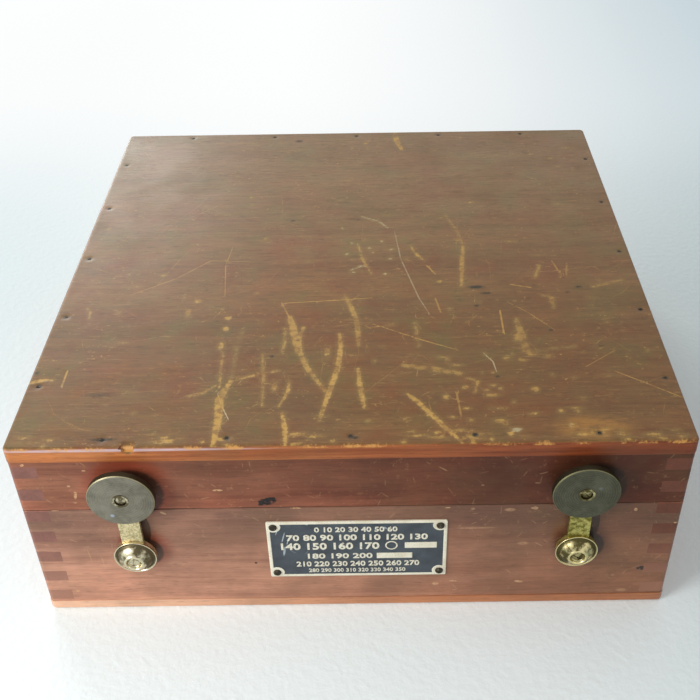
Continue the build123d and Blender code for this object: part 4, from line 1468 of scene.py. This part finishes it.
rubbed = f.most(rubbed, f.times(flecks(f, flat, 9, 3, 0.2, 0.4), 0.45))
colour = f.mix(f.times(rubbed, 0.55), colour, paint(204, 216, 220))
enamel = f.finish(colour, f.step(cloud, 0.3, 0.7, 0.34, 0.5), f.bump(grit, 0.03))
points, faces = closed_sheet(plate_top, plate_bottom)
land_field = np.tile(inside.ravel(), 2)
put_piece("plate_sheet", on_front(points, plate_x, plate_z), faces, enamel, "base", ["nameplate"],
          {"land": land_field}, sharp=50)
dress(pin_metal, "nameplate_pins")

# %% [markdown]
# The figures are plain numbers of degrees, every ten from 0 to 350, as on a dial. They come from
# Blender's own font, thickened until they look cast. Each row is stretched to its own width and
# height, so that the six rows fill the plate.

# %% Plate: figures
f = Finish("plate_figures", roughness=0.45)
grit = f.noise(f.place(), 0.8, 3.0, 0.6)
figure_colour = f.stain(paint(226, 220, 200), paint(120, 114, 98), grit, 0.5, 0.7, 0.0, 0.7)
figure_paint = f.finish(figure_colour, None, f.bump(grit, 0.03))
figure_rows = [        # text, left, right, middle height and figure height in mm, boldness
    ("0 10 20 30 40 50 60", -21, 20, 14.3, 3.5, 0.3),
    ("70 80 90 100 110 120 130", -35, 35, 8.6, 4.2, 0.35),
    ("140 150 160 170", -38, 11, 2.4, 5.0, 0.35),
    ("180 190 200", -25, 7.5, -4.9, 3.8, 0.3),
    ("210 220 230 240 250 260 270", -31, 31, -10.7, 3.8, 0.3),
    ("280 290 300 310 320 330 340 350", -25, 24, -15.6, 2.7, 0.2),
]


def figure_mesh(text, bold):
    """The built-in font's outlines, thickened and filled, as points and faces."""
    curve = bpy.data.curves.new("figures", "FONT")
    curve.body, curve.extrude = text, 0.5
    curve.offset, curve.resolution_u = bold * 0.08, 3
    holder = bpy.data.objects.new("figures", curve)
    bpy.context.scene.collection.objects.link(holder)
    graph = bpy.context.evaluated_depsgraph_get()
    mesh = bpy.data.meshes.new_from_object(holder.evaluated_get(graph))
    points = np.empty(len(mesh.vertices) * 3)
    mesh.vertices.foreach_get("co", points)
    faces = [list(face.vertices) for face in mesh.polygons]
    bpy.data.objects.remove(holder)
    return points.reshape(-1, 3), faces


figure_back = plate_front - ground_depth - 0.1
figure_thickness = ground_depth + 0.05
all_points, all_faces, first = [], [], 0
for text, left, right, middle, tall, bold in figure_rows:
    points, faces = figure_mesh(text, bold)
    low, high = points.min(0), points.max(0)
    spread = (points - low) / (high - low)
    points = spread * (right - left, tall, figure_thickness) + (left, middle - tall / 2, figure_back)
    all_points.append(points)
    all_faces += [[v + first for v in face] for face in faces]
    first += len(points)
put_piece("plate_figures", on_front(np.concatenate(all_points), plate_x, plate_z), all_faces, figure_paint,
          "base")

# %% [markdown]
# ## Felt pads
#
# A pad of green felt lies in each corner's seat, where the instrument's ring rested. Felt has no
# weave. Its surface is a tangle of short fibres, soft at the edges, so the grid's height sinks
# towards its border and carries fine noise, and the finish has a sheen.

# %% Felt
f = Finish("felt", roughness=0.95)
f.surface.inputs["Sheen Weight"].default_value = 0.5
f.surface.inputs["Sheen Roughness"].default_value = 0.6
mm = f.place()
tangle = f.noise(mm, 0.7, 4.0, 0.7)
felt_colour = f.stain(paint(56, 92, 66), paint(40, 70, 52), f.noise(mm, 12.0, 3.0), 0.35, 0.7)
felt_colour = f.stain(felt_colour, paint(92, 120, 90), tangle, 0.4, 0.7, 0.0, 0.4)
felt = f.finish(felt_colour, None, f.bump(tangle, 0.25))
print("felt finish", felt.name)

# %% [markdown]
# One pad is worked out, as an arc between two radii that is cut straight at its ends, and turned
# over X and Y into the other three. A turned-over pad has its faces the wrong way round, so their
# order is reversed.

# %% Felt pads
felt_radii = (105.0, 118.5)
felt_ends = (53.0, 54.5)                # distances of the two straight ends from the Y and X axis
felt_length = 55.0
felt_grid = (22, 90)
soft_edge, edge_sink, felt_sink = 1.2, 0.55, 0.12
pad_low, pad_high = box_mm("felt_pad_front_left")
felt_width = felt_radii[1] - felt_radii[0]

share_r = np.linspace(0, 1, felt_grid[0])[:, None]
share_a = np.linspace(0, 1, felt_grid[1])[None, :]
radius = felt_radii[0] + share_r * felt_width
start, end = np.arcsin(felt_ends[1] / radius), np.arccos(felt_ends[0] / radius)
angle = start + share_a * (end - start)
pad_x, pad_y = radius * np.cos(angle), radius * np.sin(angle)
from_arcs = np.minimum(share_r, 1 - share_r) * felt_width
from_ends = np.minimum(share_a, 1 - share_a) * felt_length
border = np.minimum(from_arcs, from_ends)
sink = edge_sink * (1 - np.clip(border / soft_edge, 0, 1)) ** 2
fuzz = 0.06 * value_noise(pad_x, pad_y, 1.2, 9) + 0.06 * value_noise(pad_x, pad_y, 6, 10)
pad_top = np.stack([pad_x, pad_y, pad_high[2] - sink - felt_sink + fuzz], -1)
pad_bottom = np.stack([pad_x, pad_y, np.full_like(pad_x, pad_low[2] + 0.01)], -1)
for end_name, end_sign in (("front", -1), ("back", 1)):
    for side, side_sign in sides.items():
        points, faces = closed_sheet(pad_top, pad_bottom)
        points = points * (side_sign, end_sign, 1)
        if side_sign * end_sign > 0:
            faces = [face[::-1] for face in faces]
        name = f"felt_{end_name}_{side}"
        pad = put_piece(name, points, faces, felt, "base", [f"felt_pad_{end_name}_{side}"])

# %% [markdown]
# ## Floor and light
#
# The case stands on a plain pale floor with a faint grain. Its colour is painted brightest in its
# middle: darker to the left, where the lamp is strongest, and darker to the right as painted shade
# beside the case. Towards the back it fades into a glow that only the camera sees, so the picture
# ends in white. That glow is painted darker to the right, as the case's shadow on the backdrop.

# %% Floor
floor_half = 4000.0
floor_points = np.array([(-1, -1, 0), (1, -1, 0), (1, 1, 0), (-1, 1, 0)], float) * floor_half
f = Finish("floor_sheet", roughness=0.85)
floor_mm = f.place()
floor_x, floor_y, _ = f.parts(floor_mm)
# Painted shade: the floor's colour is darker to the left, where the lamp is strongest, and darker to the
# right, beside the case.
floor_colour = f.stain(paint(220, 234, 236), paint(246, 255, 255), floor_x, -330.0, -60.0)
floor_colour = f.stain(floor_colour, paint(212, 227, 229), floor_x, 60.0, 330.0)
floor_normal = f.bump(f.noise(floor_mm, 4.0, 2.0), 0.35)
floor_material = f.finish(floor_colour, None, floor_normal)
# The far glow is painted darker to the right, as the case's shadow on the backdrop.
far_white_and_shadow = f.stain(paint(255, 255, 255), paint(184, 203, 211), floor_x, -100.0, 620.0)
glow = f.node("Emission", {"Color": far_white_and_shadow, "Strength": 1.0})
seen = f.node("LightPath", {}, "Is Camera Ray")
haze = f.times(f.step(floor_y, 120.0, 520.0, 0.0, 0.85), seen)
mixed = f.node("MixShader", {0: haze, 1: f.surface.outputs[0], 2: glow})
f.links.new(mixed, f.nodes["Material Output"].inputs["Surface"])
floor_mesh = bpy.data.meshes.new("floor")
floor_mesh.from_pydata((floor_points * MM).tolist(), [], [[0, 1, 2, 3]])
floor_mesh.materials.append(floor_material)
floor = bpy.data.objects.new("floor", floor_mesh)
bpy.context.scene.collection.objects.link(floor)
print(f"floor {2 * floor_half / 1000:.0f} m square")


# %% [markdown]
# One large soft lamp stands to the left in front and gives the shadows their side. A second one far
# behind lays a sheen on the top. A white sky fills the shadows. The camera and every glossy surface
# see that sky at full white, but it lights the case with little more than half of that.

# %% Lamps and sky


def area_lamp(name, place, target, size, watts):
    """A square soft lamp at a place, in metres, that looks at a target."""
    lamp = bpy.data.lights.new(name, "AREA")
    lamp.size, lamp.energy = size, watts
    holder = bpy.data.objects.new(name, lamp)
    holder.location = place
    holder.rotation_euler = (Vector(target) - Vector(place)).to_track_quat("-Z", "Y").to_euler()
    holder.visible_camera = False
    bpy.context.scene.collection.objects.link(holder)


area_lamp("window", (-0.62, -0.55, 0.45), target=(-0.02, -0.05, 0.06), size=0.34, watts=4.8)
area_lamp("back_light", (-1.0, 2.0, 0.55), target=(-0.1, 0.1, 0.1), size=1.0, watts=30.0)
sky_as_light, sky_as_seen = 0.58, 1.0
world = bpy.data.worlds.new("white_room")
world.use_nodes = True
tree = world.node_tree
rays = tree.nodes.new("ShaderNodeLightPath")
shown = tree.nodes.new("ShaderNodeMath")
shown.operation = "MAXIMUM"
tree.links.new(rays.outputs["Is Camera Ray"], shown.inputs[0])
tree.links.new(rays.outputs["Is Glossy Ray"], shown.inputs[1])
brightness = tree.nodes.new("ShaderNodeMapRange")
brightness.inputs["To Min"].default_value = sky_as_light
brightness.inputs["To Max"].default_value = sky_as_seen
tree.links.new(shown.outputs[0], brightness.inputs["Value"])
tree.links.new(brightness.outputs["Result"], tree.nodes["Background"].inputs["Strength"])
tree.nodes["Background"].inputs["Color"].default_value = (1, 1, 1, 1)
bpy.context.scene.world = world
print("two lamps and a white sky")
